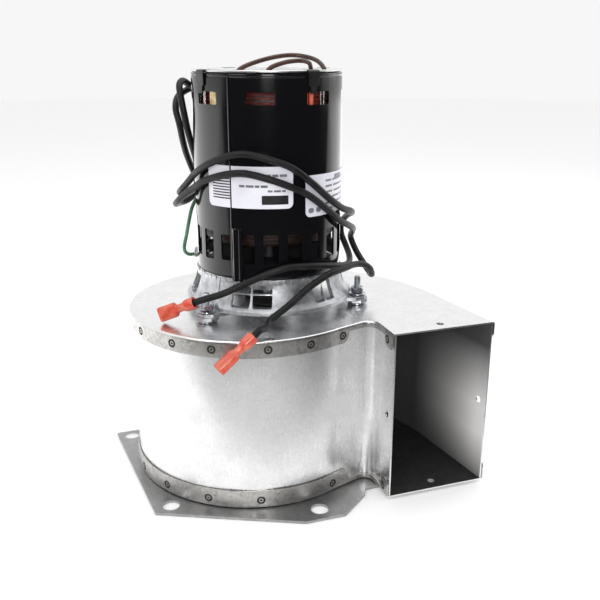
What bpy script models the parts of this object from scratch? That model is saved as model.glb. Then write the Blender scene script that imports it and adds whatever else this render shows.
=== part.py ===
# Combustion fan: a vertical motor on a cast adapter, standing on a spiral blower housing.
# Metres, +Z up, outlet facing -Y. Every object's origin is on the motor's axis.
import math

import bmesh
import bpy
from mathutils import Matrix, Vector

for old in list(bpy.data.objects):
    bpy.data.objects.remove(old, do_unlink=True)

MM = 0.001
GAP = 0.3 * MM  # room left between pieces that touch

# Housing
SHEET = 0.9 * MM
PLATE_T = 1.5 * MM
BOTTOM_Z = PLATE_T + GAP
TOP_Z = 101 * MM  # upper face of the top plate
TOP_LIP = 9.5 * MM
BOTTOM_LIP = 10.8 * MM
SLIM_LIP = 4.0 * MM
OUTLET_Y = -81.5 * MM
DUCT_LEFT = 43.5 * MM
DUCT_RIGHT = 106.0 * MM
NOTCH_R = 5.5 * MM
FLARE = (20 * MM, -63 * MM)  # where the front wall leaves the spiral
FLARE_ANGLE = math.radians(18.3)
LEFT_ARC = (-10.7 * MM, 3.1 * MM, 72.9 * MM)
BACK_ARC_R = 95 * MM
RIGHT_ARC = (-19.9 * MM, -36.4 * MM, 120 * MM)
RIGHT_END = 6.5  # degrees, where the right arc runs into the straight duct wall
ARC_STEP = 8.0
DUCT_HOLE_R = 2.0 * MM
INLET_R = 42 * MM
INLET_HOLE_R = 47 * MM
PLATE = [(-93.9, 50.7), (-84.5, -53.3), (-7.5, -89.2), (16.2, -89.2), (35.3, -73.3), (34.8, -66.3),
         (92.0, -66.3), (92.0, 50.7)]
PLATE_HOLES = [(-73.7, -48.0), (3.8, -78.8), (-83.5, 43.6), (83.5, 43.0)]
PLATE_HOLE_R = 5 * MM

# Motor
SHELL_R = 42 * MM
SHELL_T = 1.2 * MM
SHELL_Z = (125 * MM, 233.3 * MM)
FLANGE_R = 49 * MM
FLANGE_Z = 106 * MM
EAR_R = 53 * MM
EAR_ANGLES = (-148, -28, 92)
SHAFT_R = 4 * MM
BORE_R = SHAFT_R + GAP
SEEN_TURN = -109.15  # degrees from the motor's front line to +X

# Impeller
WHEEL_Z = (12 * MM, 83.2 * MM)
BLADES = 24

LEAD_R = 1.9 * MM
THIN_LEAD_R = 1.2 * MM
GROUND_R = 1.05 * MM

WIDTH = (-93.9 * MM, DUCT_RIGHT)
DEPTH = (-89.2 * MM, 77.12 * MM)
AXIS = Vector((-sum(WIDTH) / 2, -sum(DEPTH) / 2, 0))

parts = bpy.data.collections.new("combustion_fan")
cutters = bpy.data.collections.new("cutters")
bpy.context.scene.collection.children.link(parts)
bpy.context.scene.collection.children.link(cutters)

COLOURS = {
    "housing_steel": ((0.62, 0.63, 0.64), 1.0, 0.35),
    "plate_steel": ((0.30, 0.31, 0.33), 1.0, 0.45),
    "zinc": ((0.66, 0.67, 0.66), 1.0, 0.3),
    "cast_aluminium": ((0.68, 0.69, 0.70), 1.0, 0.45),
    "shell_black": ((0.02, 0.02, 0.022), 0.0, 0.2),
    "laminations": ((0.25, 0.25, 0.27), 1.0, 0.5),
    "copper_wire": ((0.45, 0.18, 0.08), 1.0, 0.35),
    "shaft_steel": ((0.55, 0.56, 0.57), 1.0, 0.25),
    "bronze": ((0.50, 0.34, 0.15), 1.0, 0.35),
    "label_white": ((0.85, 0.85, 0.83), 0.0, 0.5),
    "lead_black": ((0.03, 0.03, 0.03), 0.0, 0.6),
    "lead_brown": ((0.16, 0.07, 0.04), 0.0, 0.5),
    "lead_green": ((0.10, 0.35, 0.18), 0.0, 0.5),
    "terminal_red": ((0.75, 0.14, 0.08), 0.0, 0.35),
    "black_rubber": ((0.03, 0.03, 0.03), 0.0, 0.7),
    "plastic": ((0.12, 0.12, 0.12), 0.0, 0.5),
}
materials = {}
for slot, (colour, metallic, rough) in COLOURS.items():
    material = bpy.data.materials.new(slot)
    material.use_nodes = True
    shader = material.node_tree.nodes["Principled BSDF"]
    shader.inputs["Base Color"].default_value = (*colour, 1)
    shader.inputs["Metallic"].default_value = metallic
    shader.inputs["Roughness"].default_value = rough
    materials[slot] = material


def place(name, bm, slot=None):
    """A mesh object from bm: a sub-part with its material, or a hidden cutter when it has no slot."""
    bmesh.ops.remove_doubles(bm, verts=bm.verts, dist=1e-7)
    bmesh.ops.recalc_face_normals(bm, faces=bm.faces)
    mesh = bpy.data.meshes.new(name)
    bm.to_mesh(mesh)
    bm.free()
    obj = bpy.data.objects.new(name, mesh)
    obj.location = AXIS
    if slot:
        mesh.materials.append(materials[slot])
        parts.objects.link(obj)
    else:
        cutters.objects.link(obj)
        obj.hide_render = True
        obj.display_type = "WIRE"
    return obj


def combine(obj, other, operation):
    modifier = obj.modifiers.new(operation.lower(), "BOOLEAN")
    modifier.operation = operation
    modifier.solver = "EXACT"
    modifier.object = other


def polar(degrees, radius, z):
    a = math.radians(degrees)
    return Vector((radius * math.cos(a), radius * math.sin(a), z))


def prism(bm, outline, low, high, stand=Matrix()):
    """A solid between two heights over a flat outline."""
    rings = [[bm.verts.new(stand @ Vector((x, y, z))) for x, y in outline] for z in (low, high)]
    bm.faces.new(rings[0])
    bm.faces.new(rings[1])
    for i in range(len(outline)):
        j = (i + 1) % len(outline)
        bm.faces.new((rings[0][i], rings[0][j], rings[1][j], rings[1][i]))


def lathe(bm, profile, steps):
    """A closed ring: the profile of (radius, height) points in mm turned about the axis."""
    turns = [[bm.verts.new(polar(360 * k / steps, r * MM, z * MM)) for r, z in profile] for k in range(steps)]
    for k in range(steps):
        a, b = turns[k], turns[(k + 1) % steps]
        for i in range(len(profile)):
            j = (i + 1) % len(profile)
            bm.faces.new((a[i], a[j], b[j], b[i]))


def rod(bm, start, end, radius, sides=16):
    """A capped cylinder between two points."""
    run = Vector(end) - Vector(start)
    turn = Vector((0, 0, 1)).rotation_difference(run).to_matrix().to_4x4()
    middle = Matrix.Translation((Vector(start) + Vector(end)) / 2)
    bmesh.ops.create_cone(bm, cap_ends=True, segments=sides, radius1=radius, radius2=radius,
                          depth=run.length, matrix=middle @ turn)


def block(bm, size, matrix):
    bmesh.ops.create_cube(bm, size=1, matrix=matrix @ Matrix.Diagonal((*size, 1)))


def radial(degrees, radius, z):
    """A frame on the motor's side: X outward, Y round the axis, Z up."""
    return Matrix.Translation(polar(degrees, radius, z)) @ Matrix.Rotation(math.radians(degrees), 4, "Z")


def ring(name, profile, steps, slot):
    bm = bmesh.new()
    lathe(bm, profile, steps)
    return place(name, bm, slot)


def smooth_route(points, spacing):
    """Points evenly spaced along a smooth line through the given ones."""
    ends = [points[0] * 2 - points[1], *points, points[-1] * 2 - points[-2]]
    fine = []
    for a, b, c, d in zip(ends, ends[1:], ends[2:], ends[3:]):
        for k in range(12):
            t = k / 12
            fine.append(0.5 * (2 * b + (c - a) * t + (2 * a - 5 * b + 4 * c - d) * t * t
                               + (3 * b - a - 3 * c + d) * t ** 3))
    fine.append(points[-1])
    along = [0.0]
    for a, b in zip(fine, fine[1:]):
        along.append(along[-1] + (b - a).length)
    count = round(along[-1] / spacing)
    route, i = [], 0
    for k in range(count + 1):
        at = along[-1] * k / count
        while i < len(fine) - 2 and along[i + 1] < at:
            i += 1
        route.append(fine[i].lerp(fine[i + 1], (at - along[i]) / (along[i + 1] - along[i])))
    return route


def wire(name, route, radius, slot):
    curve = bpy.data.curves.new(name, "CURVE")
    curve.dimensions = "3D"
    curve.bevel_depth = radius
    curve.bevel_resolution = 2
    curve.use_fill_caps = True
    spline = curve.splines.new("POLY")
    spline.points.add(len(route) - 1)
    for point, position in zip(spline.points, route):
        point.co = (*position, 1)
    curve.materials.append(materials[slot])
    obj = bpy.data.objects.new(name, curve)
    obj.location = AXIS
    parts.objects.link(obj)
    return obj


# Scroll outline, clockwise from the outlet's left edge: (x, y, inward x, inward y, top lip, bottom lip)

def arc(centre_x, centre_y, radius, start, end, inward):
    steps = max(2, round(abs(end - start) / ARC_STEP))
    found = []
    for k in range(steps + 1):
        a = math.radians(start + (end - start) * k / steps)
        c, s = math.cos(a), math.sin(a)
        found.append((centre_x + radius * c, centre_y + radius * s, inward * c, inward * s))
    return found


def back_arc():
    """The arc that touches the left and the right arc from inside: its centre and its two ends."""
    lx, ly, lr = LEFT_ARC
    rx, ry, rr = RIGHT_ARC
    to_left, to_right = BACK_ARC_R - lr, rr - BACK_ARC_R
    apart, heading = math.hypot(lx - rx, ly - ry), math.atan2(ly - ry, lx - rx)
    at_left = heading + math.acos((to_left ** 2 + apart ** 2 - to_right ** 2) / (2 * to_left * apart))
    at_right = heading - math.acos((to_right ** 2 + apart ** 2 - to_left ** 2) / (2 * to_right * apart))
    centre = (lx - to_left * math.cos(at_left), ly - to_left * math.sin(at_left))
    return centre, math.degrees(at_left), math.degrees(at_right)


def scroll_path():
    out = (math.sin(FLARE_ANGLE), -math.cos(FLARE_ANGLE))
    along = (DUCT_LEFT - NOTCH_R - FLARE[0] - NOTCH_R * out[0]) / math.cos(FLARE_ANGLE)
    notch_y = FLARE[1] + along * math.sin(FLARE_ANGLE) + NOTCH_R * out[1]
    path = [(DUCT_LEFT, y * MM, 1, 0, top, bottom) for y, top, bottom in (
        (OUTLET_Y / MM, TOP_LIP, BOTTOM_LIP), (-75.0, TOP_LIP, BOTTOM_LIP),
        (-74.0, SLIM_LIP, SLIM_LIP), (-68.0, SLIM_LIP, SLIM_LIP))]
    notch = arc(DUCT_LEFT - NOTCH_R, notch_y, NOTCH_R, 0, 90 + math.degrees(FLARE_ANGLE), 1)
    path += [(*p, SLIM_LIP, SLIM_LIP) for p in notch]
    for share, top, bottom in ((0.62, SLIM_LIP, SLIM_LIP), (0.56, TOP_LIP * 0.8, SLIM_LIP),
                               (0.48, TOP_LIP, SLIM_LIP), (0.30, TOP_LIP, SLIM_LIP),
                               (0.24, TOP_LIP, BOTTOM_LIP * 0.8), (0.16, TOP_LIP, BOTTOM_LIP)):
        end = notch[-1]
        path.append((FLARE[0] + (end[0] - FLARE[0]) * share, FLARE[1] + (end[1] - FLARE[1]) * share,
                     -out[0], -out[1], top, bottom))
    lx, ly, lr = LEFT_ARC
    start = math.degrees(math.atan2(FLARE[1] - ly, FLARE[0] - lx))
    centre, at_left, at_right = back_arc()
    path += [(*p, TOP_LIP, BOTTOM_LIP) for p in (
        *arc(lx, ly, lr, start, at_left - 360, -1),
        *arc(*centre, BACK_ARC_R, at_left - 360, at_right - 360, -1)[1:],
        *arc(*RIGHT_ARC, at_right - 360, RIGHT_END - 360, -1)[1:])]
    # The last inward step is along the outlet's face, so that every layer ends on it.
    path.append((DUCT_RIGHT, OUTLET_Y, -1 / math.cos(math.radians(RIGHT_END)), 0, TOP_LIP, BOTTOM_LIP))
    return path


path = scroll_path()


def layer(depth):
    """The outline moved inward."""
    return [(x + nx * depth, y + ny * depth) for x, y, nx, ny, _, _ in path]


def lipped_plate(name, face_z, turn, lip_index):
    """A flat sheet with a lip bent towards turn (-1 down, 1 up) all along the scroll's wall."""
    bm = bmesh.new()
    outer, inner = layer(0), layer(SHEET)
    tips = [face_z + turn * p[lip_index] for p in path]
    loops = [[bm.verts.new((x, y, face_z)) for x, y in outer],
             [bm.verts.new((x, y, z)) for (x, y), z in zip(outer, tips)],
             [bm.verts.new((x, y, z)) for (x, y), z in zip(inner, tips)],
             [bm.verts.new((x, y, face_z + turn * SHEET)) for x, y in inner]]
    bm.faces.new(loops[0])
    bm.faces.new(loops[3])
    for a, b in zip(loops, loops[1:]):
        for i in range(len(path) - 1):
            bm.faces.new((a[i], a[i + 1], b[i + 1], b[i]))
    bm.faces.new([*(loop[0] for loop in loops), *(loop[-1] for loop in reversed(loops))])
    return place(name, bm, "housing_steel")


# Housing

wall_outer, wall_inner = layer(SHEET + GAP), layer(2 * SHEET + GAP)
bm = bmesh.new()
prism(bm, [*wall_outer, *reversed(wall_inner)], BOTTOM_Z + SHEET + GAP, TOP_Z - SHEET - GAP)
scroll_wrap = place("scroll_wrap", bm, "housing_steel")
bm = bmesh.new()
duct_mid_z = 51.5 * MM
rod(bm, (DUCT_LEFT - 5 * MM, -75 * MM, duct_mid_z), (DUCT_LEFT + 8 * MM, -75 * MM, duct_mid_z), DUCT_HOLE_R)
rod(bm, (DUCT_RIGHT - 8 * MM, -75 * MM, duct_mid_z), (DUCT_RIGHT + 5 * MM, -75 * MM, duct_mid_z), DUCT_HOLE_R)
combine(scroll_wrap, place("wrap_cuts", bm), "DIFFERENCE")

top_plate = lipped_plate("top_plate", TOP_Z, -1, 4)
bm = bmesh.new()
rod(bm, (0, 0, TOP_Z - 5 * MM), (0, 0, TOP_Z + 5 * MM), 9 * MM, 24)
rod(bm, (75.5 * MM, -74.4 * MM, TOP_Z - 5 * MM), (75.5 * MM, -74.4 * MM, TOP_Z + 5 * MM), DUCT_HOLE_R)
for degrees in EAR_ANGLES:
    rod(bm, polar(degrees, EAR_R, TOP_Z - 5 * MM), polar(degrees, EAR_R, TOP_Z + 5 * MM), 2.4 * MM)
combine(top_plate, place("top_cuts", bm), "DIFFERENCE")

bottom_plate = lipped_plate("bottom_plate", BOTTOM_Z, 1, 5)
bm = bmesh.new()
rod(bm, (0, 0, -5 * MM), (0, 0, 8 * MM), INLET_HOLE_R, 48)
rod(bm, (75.5 * MM, -74.4 * MM, -5 * MM), (75.5 * MM, -74.4 * MM, 8 * MM), DUCT_HOLE_R)
combine(bottom_plate, place("bottom_cuts", bm), "DIFFERENCE")

bm = bmesh.new()
prism(bm, [(x * MM, y * MM) for x, y in PLATE], 0, PLATE_T)
mounting_plate = place("mounting_plate", bm, "plate_steel")
bm = bmesh.new()
rod(bm, (0, 0, -5 * MM), (0, 0, 8 * MM), INLET_HOLE_R, 48)
for x, y in PLATE_HOLES:
    rod(bm, (x * MM, y * MM, -5 * MM), (x * MM, y * MM, 5 * MM), PLATE_HOLE_R, 24)
combine(mounting_plate, place("plate_cuts", bm), "DIFFERENCE")

ring("inlet_ring", [(53, 3.0), (53, 3.9), (46.7, 3.9), (44.6, 4.8), (43.2, 6.6), (42.7, 9.5), (41.8, 9.5),
                    (42.3, 6.3), (43.8, 4.1), (46.4, 3.0)], 36, "housing_steel")

# Impeller: blades curved forward between two rings, under a back disc

disc_z, ring_t = WHEEL_Z[1] / MM, 1.2
ring("impeller_disc", [(9.4, disc_z - ring_t), (54, disc_z - ring_t), (54, disc_z), (9.4, disc_z)], 48,
     "housing_steel")
rear_z = disc_z - 2 * ring_t - 0.3
cage = ring("impeller_blades", [(44, 12), (54, 12), (54, 12 + ring_t), (44, 12 + ring_t)], 48, "housing_steel")
bm = bmesh.new()
BLADE = [(45.0, 0.0), (47.8, 1.9), (50.6, 2.1), (53.3, 0.2)]  # (radius, degrees ahead)
for k in range(BLADES):
    face, back = [], []
    for radius, ahead in BLADE:
        p = polar(360 * k / BLADES + ahead, radius * MM, 0)
        across = polar(360 * k / BLADES + ahead + 90, 0.45 * MM, 0)
        face.append((p + across)[:2])
        back.append((p - across)[:2])
    prism(bm, [*face, *reversed(back)], 12.5 * MM, (rear_z + 0.7) * MM)
combine(cage, place("blades", bm), "UNION")
bm = bmesh.new()
lathe(bm, [(44, rear_z), (54, rear_z), (54, rear_z + ring_t), (44, rear_z + ring_t)], 48)
combine(cage, place("rear_ring", bm), "UNION")

hub = ring("impeller_hub", [(4.3, 66), (9, 66), (9, 83.6), (20, 83.6), (20, 85.6), (10, 85.6), (9, 88), (4.3, 88)],
           24, "cast_aluminium")
bm = bmesh.new()
rod(bm, (3 * MM, 0, 73 * MM), (12 * MM, 0, 73 * MM), 2.3 * MM)
combine(hub, place("hub_cuts", bm), "DIFFERENCE")
bm = bmesh.new()
rod(bm, (4.4 * MM, 0, 73 * MM), (9.4 * MM, 0, 73 * MM), 2.0 * MM)
place("hub_set_screw", bm, "zinc")

bm = bmesh.new()
rod(bm, (0, 0, 64 * MM), (0, 0, 234.5 * MM), SHAFT_R, 24)
place("motor_shaft", bm, "shaft_steel")
ring("rotor_core", [(4.3, 158), (25.6, 158), (25.6, 206), (4.3, 206)], 28, "laminations")

cooling_fan = ring("cooling_fan", [(4.3, 127), (8, 127), (9, 128.5), (34, 128.5), (34, 129.7), (9, 129.7),
                                   (8, 139), (4.3, 139)], 32, "plastic")
bm = bmesh.new()
for k in range(8):
    block(bm, (24.5 * MM, 1.2 * MM, 9.5 * MM), radial(45 * k, 21.2 * MM, 133.9 * MM))
combine(cooling_fan, place("fan_vanes", bm), "UNION")

# Motor

adapter = ring("motor_adapter", [
    (49, 106), (49, 108.6), (47.6, 109.8), (45.6, 112.4), (43.8, 116.5), (42.6, 121), (42, 124.7), (39.4, 124.7),
    (39.8, 121.2), (12.2, 121.2), (12.2, 124.7), (8.3, 124.7), (8.3, 110), (12.2, 110), (12.2, 118.6),
    (40.4, 118.6), (42.0, 114.6), (44.2, 110.4), (44.8, 106)], 40, "cast_aluminium")
bm = bmesh.new()
for degrees in EAR_ANGLES:
    rod(bm, polar(degrees, EAR_R, 102.4 * MM), polar(degrees, EAR_R, 106.5 * MM), 6.4 * MM, 20)
combine(adapter, place("adapter_ears", bm), "UNION")
bm = bmesh.new()
for degrees in EAR_ANGLES:
    block(bm, (5.4 * MM, 2.4 * MM, 14.5 * MM), radial(degrees, 44.9 * MM, 110.75 * MM))
combine(adapter, place("adapter_ribs", bm), "UNION")
bm = bmesh.new()
for degrees in EAR_ANGLES:
    rod(bm, polar(degrees, EAR_R, 100 * MM), polar(degrees, EAR_R, 116 * MM), 2.4 * MM)
combine(adapter, place("adapter_bores", bm), "DIFFERENCE")
bm = bmesh.new()
for degrees in EAR_ANGLES:
    rod(bm, polar(degrees, EAR_R, 106.5 * MM), polar(degrees, EAR_R, 118.2 * MM), 5.5 * MM, 24)
combine(adapter, place("adapter_pockets", bm), "DIFFERENCE")
bm = bmesh.new()
for k in range(12):
    if k % 4 != 3:
        block(bm, (9 * MM, 15 * MM, 6.4 * MM), radial(30 * k + 4, 44.5 * MM, 114.7 * MM))
    if k % 3 == 1:
        block(bm, (17 * MM, 9 * MM, 9 * MM), radial(30 * k, 26 * MM, 120 * MM))
combine(adapter, place("adapter_cuts", bm), "DIFFERENCE")

shell_r, wall = SHELL_R / MM, SHELL_T / MM
shell = ring("motor_shell", [(shell_r, 125), (shell_r, 233.3), (shell_r - wall, 233.3), (shell_r - wall, 125)],
             60, "shell_black")
GROMMET = (-223.85, 224 * MM)  # direction and height of the lead exit
GROUND = (-209.15, 128.5 * MM)
bm = bmesh.new()
for k in range(8):
    block(bm, (6 * MM, 16 * MM, 7 * MM), radial(SEEN_TURN - 2.2 + 45 * k, SHELL_R, 220.8 * MM))
for k in range(20):
    block(bm, (6 * MM, 7.3 * MM, 15.5 * MM), radial(SEEN_TURN + 4 + 18 * k, SHELL_R, 141.8 * MM))
rod(bm, polar(GROMMET[0], 36 * MM, GROMMET[1]), polar(GROMMET[0], 46 * MM, GROMMET[1]), 6.2 * MM, 24)
rod(bm, polar(GROUND[0], 36 * MM, GROUND[1]), polar(GROUND[0], 46 * MM, GROUND[1]), 1.8 * MM)
combine(shell, place("shell_cuts", bm), "DIFFERENCE")

shield = ring("upper_end_shield", [
    (41.6, 233.6), (41.6, 234.8), (14, 234.8), (12, 236), (8.3, 236), (8.3, 226), (11.4, 226), (11.4, 233.6)],
    40, "plate_steel")
strips, bridges = bmesh.new(), bmesh.new()
CLIP = [(-3.6, 234.6), (-3.6, 227), (-2.1, 226), (-2.1, 223), (2.1, 223), (2.1, 226), (3.6, 227), (3.6, 234.6)]
for k in range(4):
    stand = radial(SEEN_TURN - 52.9 + 90 * k, 42.4 * MM, 0) @ Matrix(
        ((0, 0, 1, 0), (1, 0, 0, 0), (0, 1, 0, 0), (0, 0, 0, 1)))
    prism(strips, [(x * MM, z * MM) for x, z in CLIP], 0, 1 * MM, stand)
    block(bridges, (5 * MM, 6.8 * MM, 0.9 * MM), radial(SEEN_TURN - 52.9 + 90 * k, 40.8 * MM, 234.15 * MM))
combine(shield, place("clip_strips", strips), "UNION")
combine(shield, place("clip_bridges", bridges), "UNION")
bm = bmesh.new()
for k in range(12):
    block(bm, (15 * MM, 4.2 * MM, 5 * MM), radial(30 * k + 15, 30 * MM, 234.2 * MM))
combine(shield, place("shield_cuts", bm), "DIFFERENCE")

ring("stator_core", [(26.3, 158), (40.4, 158), (40.4, 206), (26.3, 206)], 36, "laminations")
ring("upper_windings", [(27.5, 206.3), (36.5, 206.3), (38.6, 212), (38.6, 223), (36, 228), (30, 228), (27.5, 224)],
     28, "copper_wire")
ring("lower_windings", [(27.5, 157.7), (27.5, 146), (30, 142), (36, 142), (38.6, 147), (38.6, 152), (36.5, 157.7)],
     28, "copper_wire")
ring("upper_bearing", [(4.3, 226.6), (8, 226.6), (8, 233), (4.3, 233)], 24, "bronze")
ring("lower_bearing", [(4.3, 111), (8, 111), (8, 123), (4.3, 123)], 24, "bronze")
ring("shaft_seal", [(4.6, 101.3), (15, 101.3), (15, 102.6), (7, 102.6), (6, 104), (4.6, 104)], 20, "black_rubber")
bm = bmesh.new()
block(bm, (7 * MM, 13 * MM, 4 * MM), radial(20, 32 * MM, 230.6 * MM))
place("thermal_protector", bm, "plastic")


def shell_label(name, first, last, low, high):
    """A thin curved label on the shell, between two directions seen from the motor's front."""
    steps = round((last - first) / 6)
    turns = [SEEN_TURN + first + (last - first) * k / steps for k in range(steps + 1)]
    inside = [polar(a, SHELL_R + 0.12 * MM, 0)[:2] for a in turns]
    outside = [polar(a, SHELL_R + 0.27 * MM, 0)[:2] for a in reversed(turns)]
    label = bmesh.new()
    prism(label, [*inside, *outside], low * MM, high * MM)
    place(name, label, "label_white")


shell_label("code_label", -47, 20.6, 164.3, 186.6)
shell_label("rating_label", 30.6, 115, 158.5, 181)

# Fixing of the motor: three studs through the top plate and the adapter's ears

for number, degrees in enumerate(EAR_ANGLES, 1):
    foot = polar(degrees, EAR_R, 0)

    def at(z, foot=foot):
        return foot + Vector((0, 0, z * MM))

    bm = bmesh.new()
    rod(bm, at(96), at(117.5), 2.0 * MM, 12)
    stud = place(f"mount_stud_{number}", bm, "zinc")
    bm = bmesh.new()
    rod(bm, at(97.6), at(99.7), 4.2 * MM, 16)
    combine(stud, place(f"stud_head_{number}", bm), "UNION")
    for name, low, high, outer, inner, sides, slot in (
            ("stud_spacer", 101.3, 102.1, 5.6, 2.4, 20, "zinc"),
            ("stud_washer", 106.8, 107.6, 4.9, 2.3, 20, "zinc"),
            ("stud_nut", 107.9, 111.3, 4.05, 2.3, 6, "zinc")):
        bm = bmesh.new()
        bmesh.ops.create_cone(bm, cap_ends=True, segments=sides, radius1=outer * MM, radius2=outer * MM,
                              depth=(high - low) * MM, matrix=Matrix.Translation(at((low + high) / 2)))
        piece = place(f"{name}_{number}", bm, slot)
        bm = bmesh.new()
        rod(bm, at(low - 2), at(high + 2), inner * MM, 16)
        combine(piece, place(f"{name}_bore_{number}", bm), "DIFFERENCE")

# Wiring

grommet_frame = radial(GROMMET[0], SHELL_R, GROMMET[1])
bm = bmesh.new()
rod(bm, grommet_frame @ Vector((-2.6 * MM, 0, 0)), grommet_frame @ Vector((3 * MM, 0, 0)), 5.8 * MM, 20)
grommet = place("lead_grommet", bm, "black_rubber")
bm = bmesh.new()
for side, up, radius in ((-2.9, 0.8, 2.3), (2.9, 0.8, 2.3), (0, -3.4, 1.4)):
    ends = [grommet_frame @ Vector((out * MM, side * MM, up * MM)) for out in (-8, 8)]
    rod(bm, *ends, radius * MM)
combine(grommet, place("grommet_bores", bm), "DIFFERENCE")


def seen(turn, radius, z):
    """A point by its direction from the motor's front line in degrees, and mm from the axis and the floor."""
    return polar(SEEN_TURN + turn, radius * MM, z * MM)


exits = [[grommet_frame @ Vector((out * MM, side * 2.9 * MM, 0.8 * MM)) for out in (-2.4, 4.2, 5.8)]
         for side in (1, -1)]
# Back of each terminal, its tip, and the way its flat side faces
TERMINALS = [((-52.4, -32.8, 114.1), (-69.5, -21.9, 105.5), (-0.16, -0.94, 0.31)),
             ((-29.9, -69.9, 105.0), (-49.6, -72.3, 89.7), (0, 0, 1))]
LEAD_ROUTES = [
    [(-103, 49.5, 228), (-94, 49.5, 226), (-88, 48, 219), (-87, 46.5, 210), (-92, 45.5, 201), (-100, 45, 192),
     (-109, 45.8, 183), (-115, 47.4, 174), (-115, 48.6, 167), (-108, 49.4, 164), (-99, 51, 163.8), (-90, 51.5, 165.8),
     (-81, 49.7, 169), (-72, 46.8, 174), (-62, 44.9, 179.7), (-50, 44.8, 184.3), (-38.7, 44.8, 188.1),
     (-24, 44.8, 192.2), (-11, 44.8, 193.2), (3.5, 44.8, 190.7), (18.2, 44.8, 186.2), (33.4, 44.8, 177.6),
     (49.2, 45, 168.1), (66, 45.8, 160.5), (80, 48, 156.8), (93, 49, 153.5), (106, 48.5, 149.5),
     (115, 48.5, 143.5), (116, 49, 136.5), (108, 49, 130.5), (97, 48.5, 127), (86, 47.8, 125.2),
     (75, 47, 125.8), (62, 46.4, 127.7), (48, 46.3, 130.2), (30, 46.3, 132.4), (15, 46.3, 132.9),
     (4, 46.4, 130.6), (-6, 46.6, 127.2), (-16, 48, 123.3), (-26, 53.5, 119)],
    [(-112, 51.5, 222.5), (-102, 53, 219), (-93, 52, 213), (-91, 50, 205), (-97, 49.8, 196), (-106, 50.8, 187),
     (-115, 52.2, 178), (-121, 52.6, 169), (-120, 53, 161.5), (-112, 53.5, 158), (-102, 55, 157.6),
     (-93, 54.5, 158.6), (-84, 52.5, 161.5), (-74, 48.8, 167), (-63, 45.6, 172), (-48, 44.8, 177.4),
     (-28.5, 44.8, 182), (-13.6, 44.8, 183.3), (1, 44.8, 180.9), (14.6, 44.8, 177.2), (30.6, 44.8, 171.2),
     (47.7, 45, 161.9), (64, 45.8, 153.5), (78, 47.5, 148.7), (92, 49.7, 144.5), (105, 52.2, 140.3),
     (113, 54.2, 134.5), (109, 56, 127), (101, 58.5, 120.5), (93, 60.6, 116.8), (86, 61.3, 117.8),
     (81, 60.3, 122.6), (76, 57, 126.3), (69, 53.5, 127.8), (60, 51.7, 127.8), (50, 51, 127.6), (41, 50.8, 126.7),
     (27.5, 50.5, 121.5), (14.5, 52.7, 114), (3.4, 56.6, 107.6), (0.7, 61.5, 105.6), (-0.1, 66.5, 106)],
]
for number, (leaving, turns, (back, tip, facing)) in enumerate(zip(exits, LEAD_ROUTES, TERMINALS), 1):
    back, tip = Vector(back) * MM, Vector(tip) * MM
    crimp = [back.lerp(tip, share) for share in (-0.16, 0, 0.2)]
    route = [leaving[0], *smooth_route([*leaving[1:], *(seen(*p) for p in turns), *crimp], 9 * MM)]
    wire(f"black_lead_{number}", route, LEAD_R, "lead_black")
    run = (tip - back).normalized()
    side = run.cross(Vector(facing)).normalized()
    frame = Matrix((side, side.cross(run), run)).transposed().to_4x4()
    frame = Matrix.Translation(back) @ frame
    length = (tip - back).length
    # Distance along, across and thickness: a round barrel, a neck and the tab's flat housing.
    stations = ((0.0, 3.5, 3.4), (0.26, 3.4, 3.2), (0.36, 2.8, 2.6), (0.50, 2.9, 2.5), (0.58, 4.2, 2.6),
                (1.0, 4.2, 2.6))
    bm = bmesh.new()
    loops = []
    for share, wide, thick in stations:
        flat = 0.55 if share > 0.55 else 1.0
        loops.append([])
        for k in range(20):
            a = 2 * math.pi * (k + 0.5) / 20
            c, s = math.cos(a), math.sin(a)
            x = math.copysign(abs(c) ** flat, c) * wide * MM
            y = math.copysign(abs(s) ** flat, s) * thick * MM
            loops[-1].append(bm.verts.new(frame @ Vector((x, y, share * length))))
    for a, b in zip(loops, loops[1:]):
        for i in range(20):
            j = (i + 1) % 20
            bm.faces.new((a[i], a[j], b[j], b[i]))
    bm.faces.new(loops[0])
    bm.faces.new(loops[-1])
    sleeve = place(f"terminal_sleeve_{number}", bm, "terminal_red")
    bm = bmesh.new()
    rod(bm, frame @ Vector((0, 0, -2 * MM)), frame @ Vector((0, 0, 0.28 * length)), 2.3 * MM, 16)
    combine(sleeve, place(f"sleeve_bore_{number}", bm), "DIFFERENCE")
    bm = bmesh.new()
    block(bm, (7.0 * MM, 3.4 * MM, 0.8 * length), frame @ Matrix.Translation((0, 0, 0.96 * length)))
    combine(sleeve, place(f"sleeve_mouth_{number}", bm), "DIFFERENCE")
    bm = bmesh.new()
    block(bm, (6.3 * MM, 0.8 * MM, 0.40 * length), frame @ Matrix.Translation((0, -1.0 * MM, 0.785 * length)))
    tab = place(f"terminal_tab_{number}", bm, "zinc")
    bm = bmesh.new()
    for turn in (-1, 1):
        block(bm, (0.8 * MM, 2.4 * MM, 0.38 * length),
              frame @ Matrix.Translation((turn * 2.7 * MM, -0.1 * MM, 0.785 * length)))
    combine(tab, place(f"tab_sides_{number}", bm), "UNION")

for number, turns in enumerate((
        [(-25.85, 30, 229), (-25.85, 30, 235), (0, 18, 240), (60, 16, 242), (71, 27.5, 240), (64.15, 35, 235),
         (64.15, 35, 229)],
        [(4.15, 30, 229), (4.15, 30, 235), (20, 28.8, 238.3), (39, 28.4, 239.3), (55, 28, 238.3), (64.15, 27, 235),
         (64.15, 27, 229)]), 1):
    wire(f"brown_lead_{number}", smooth_route([seen(*p) for p in turns], 3 * MM), THIN_LEAD_R, "lead_brown")

ground_frame = radial(GROUND[0], SHELL_R, GROUND[1])


def at_screw(out, along=0.0, up=0.0):
    return ground_frame @ Vector((out * MM, along * MM, up * MM))


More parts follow.
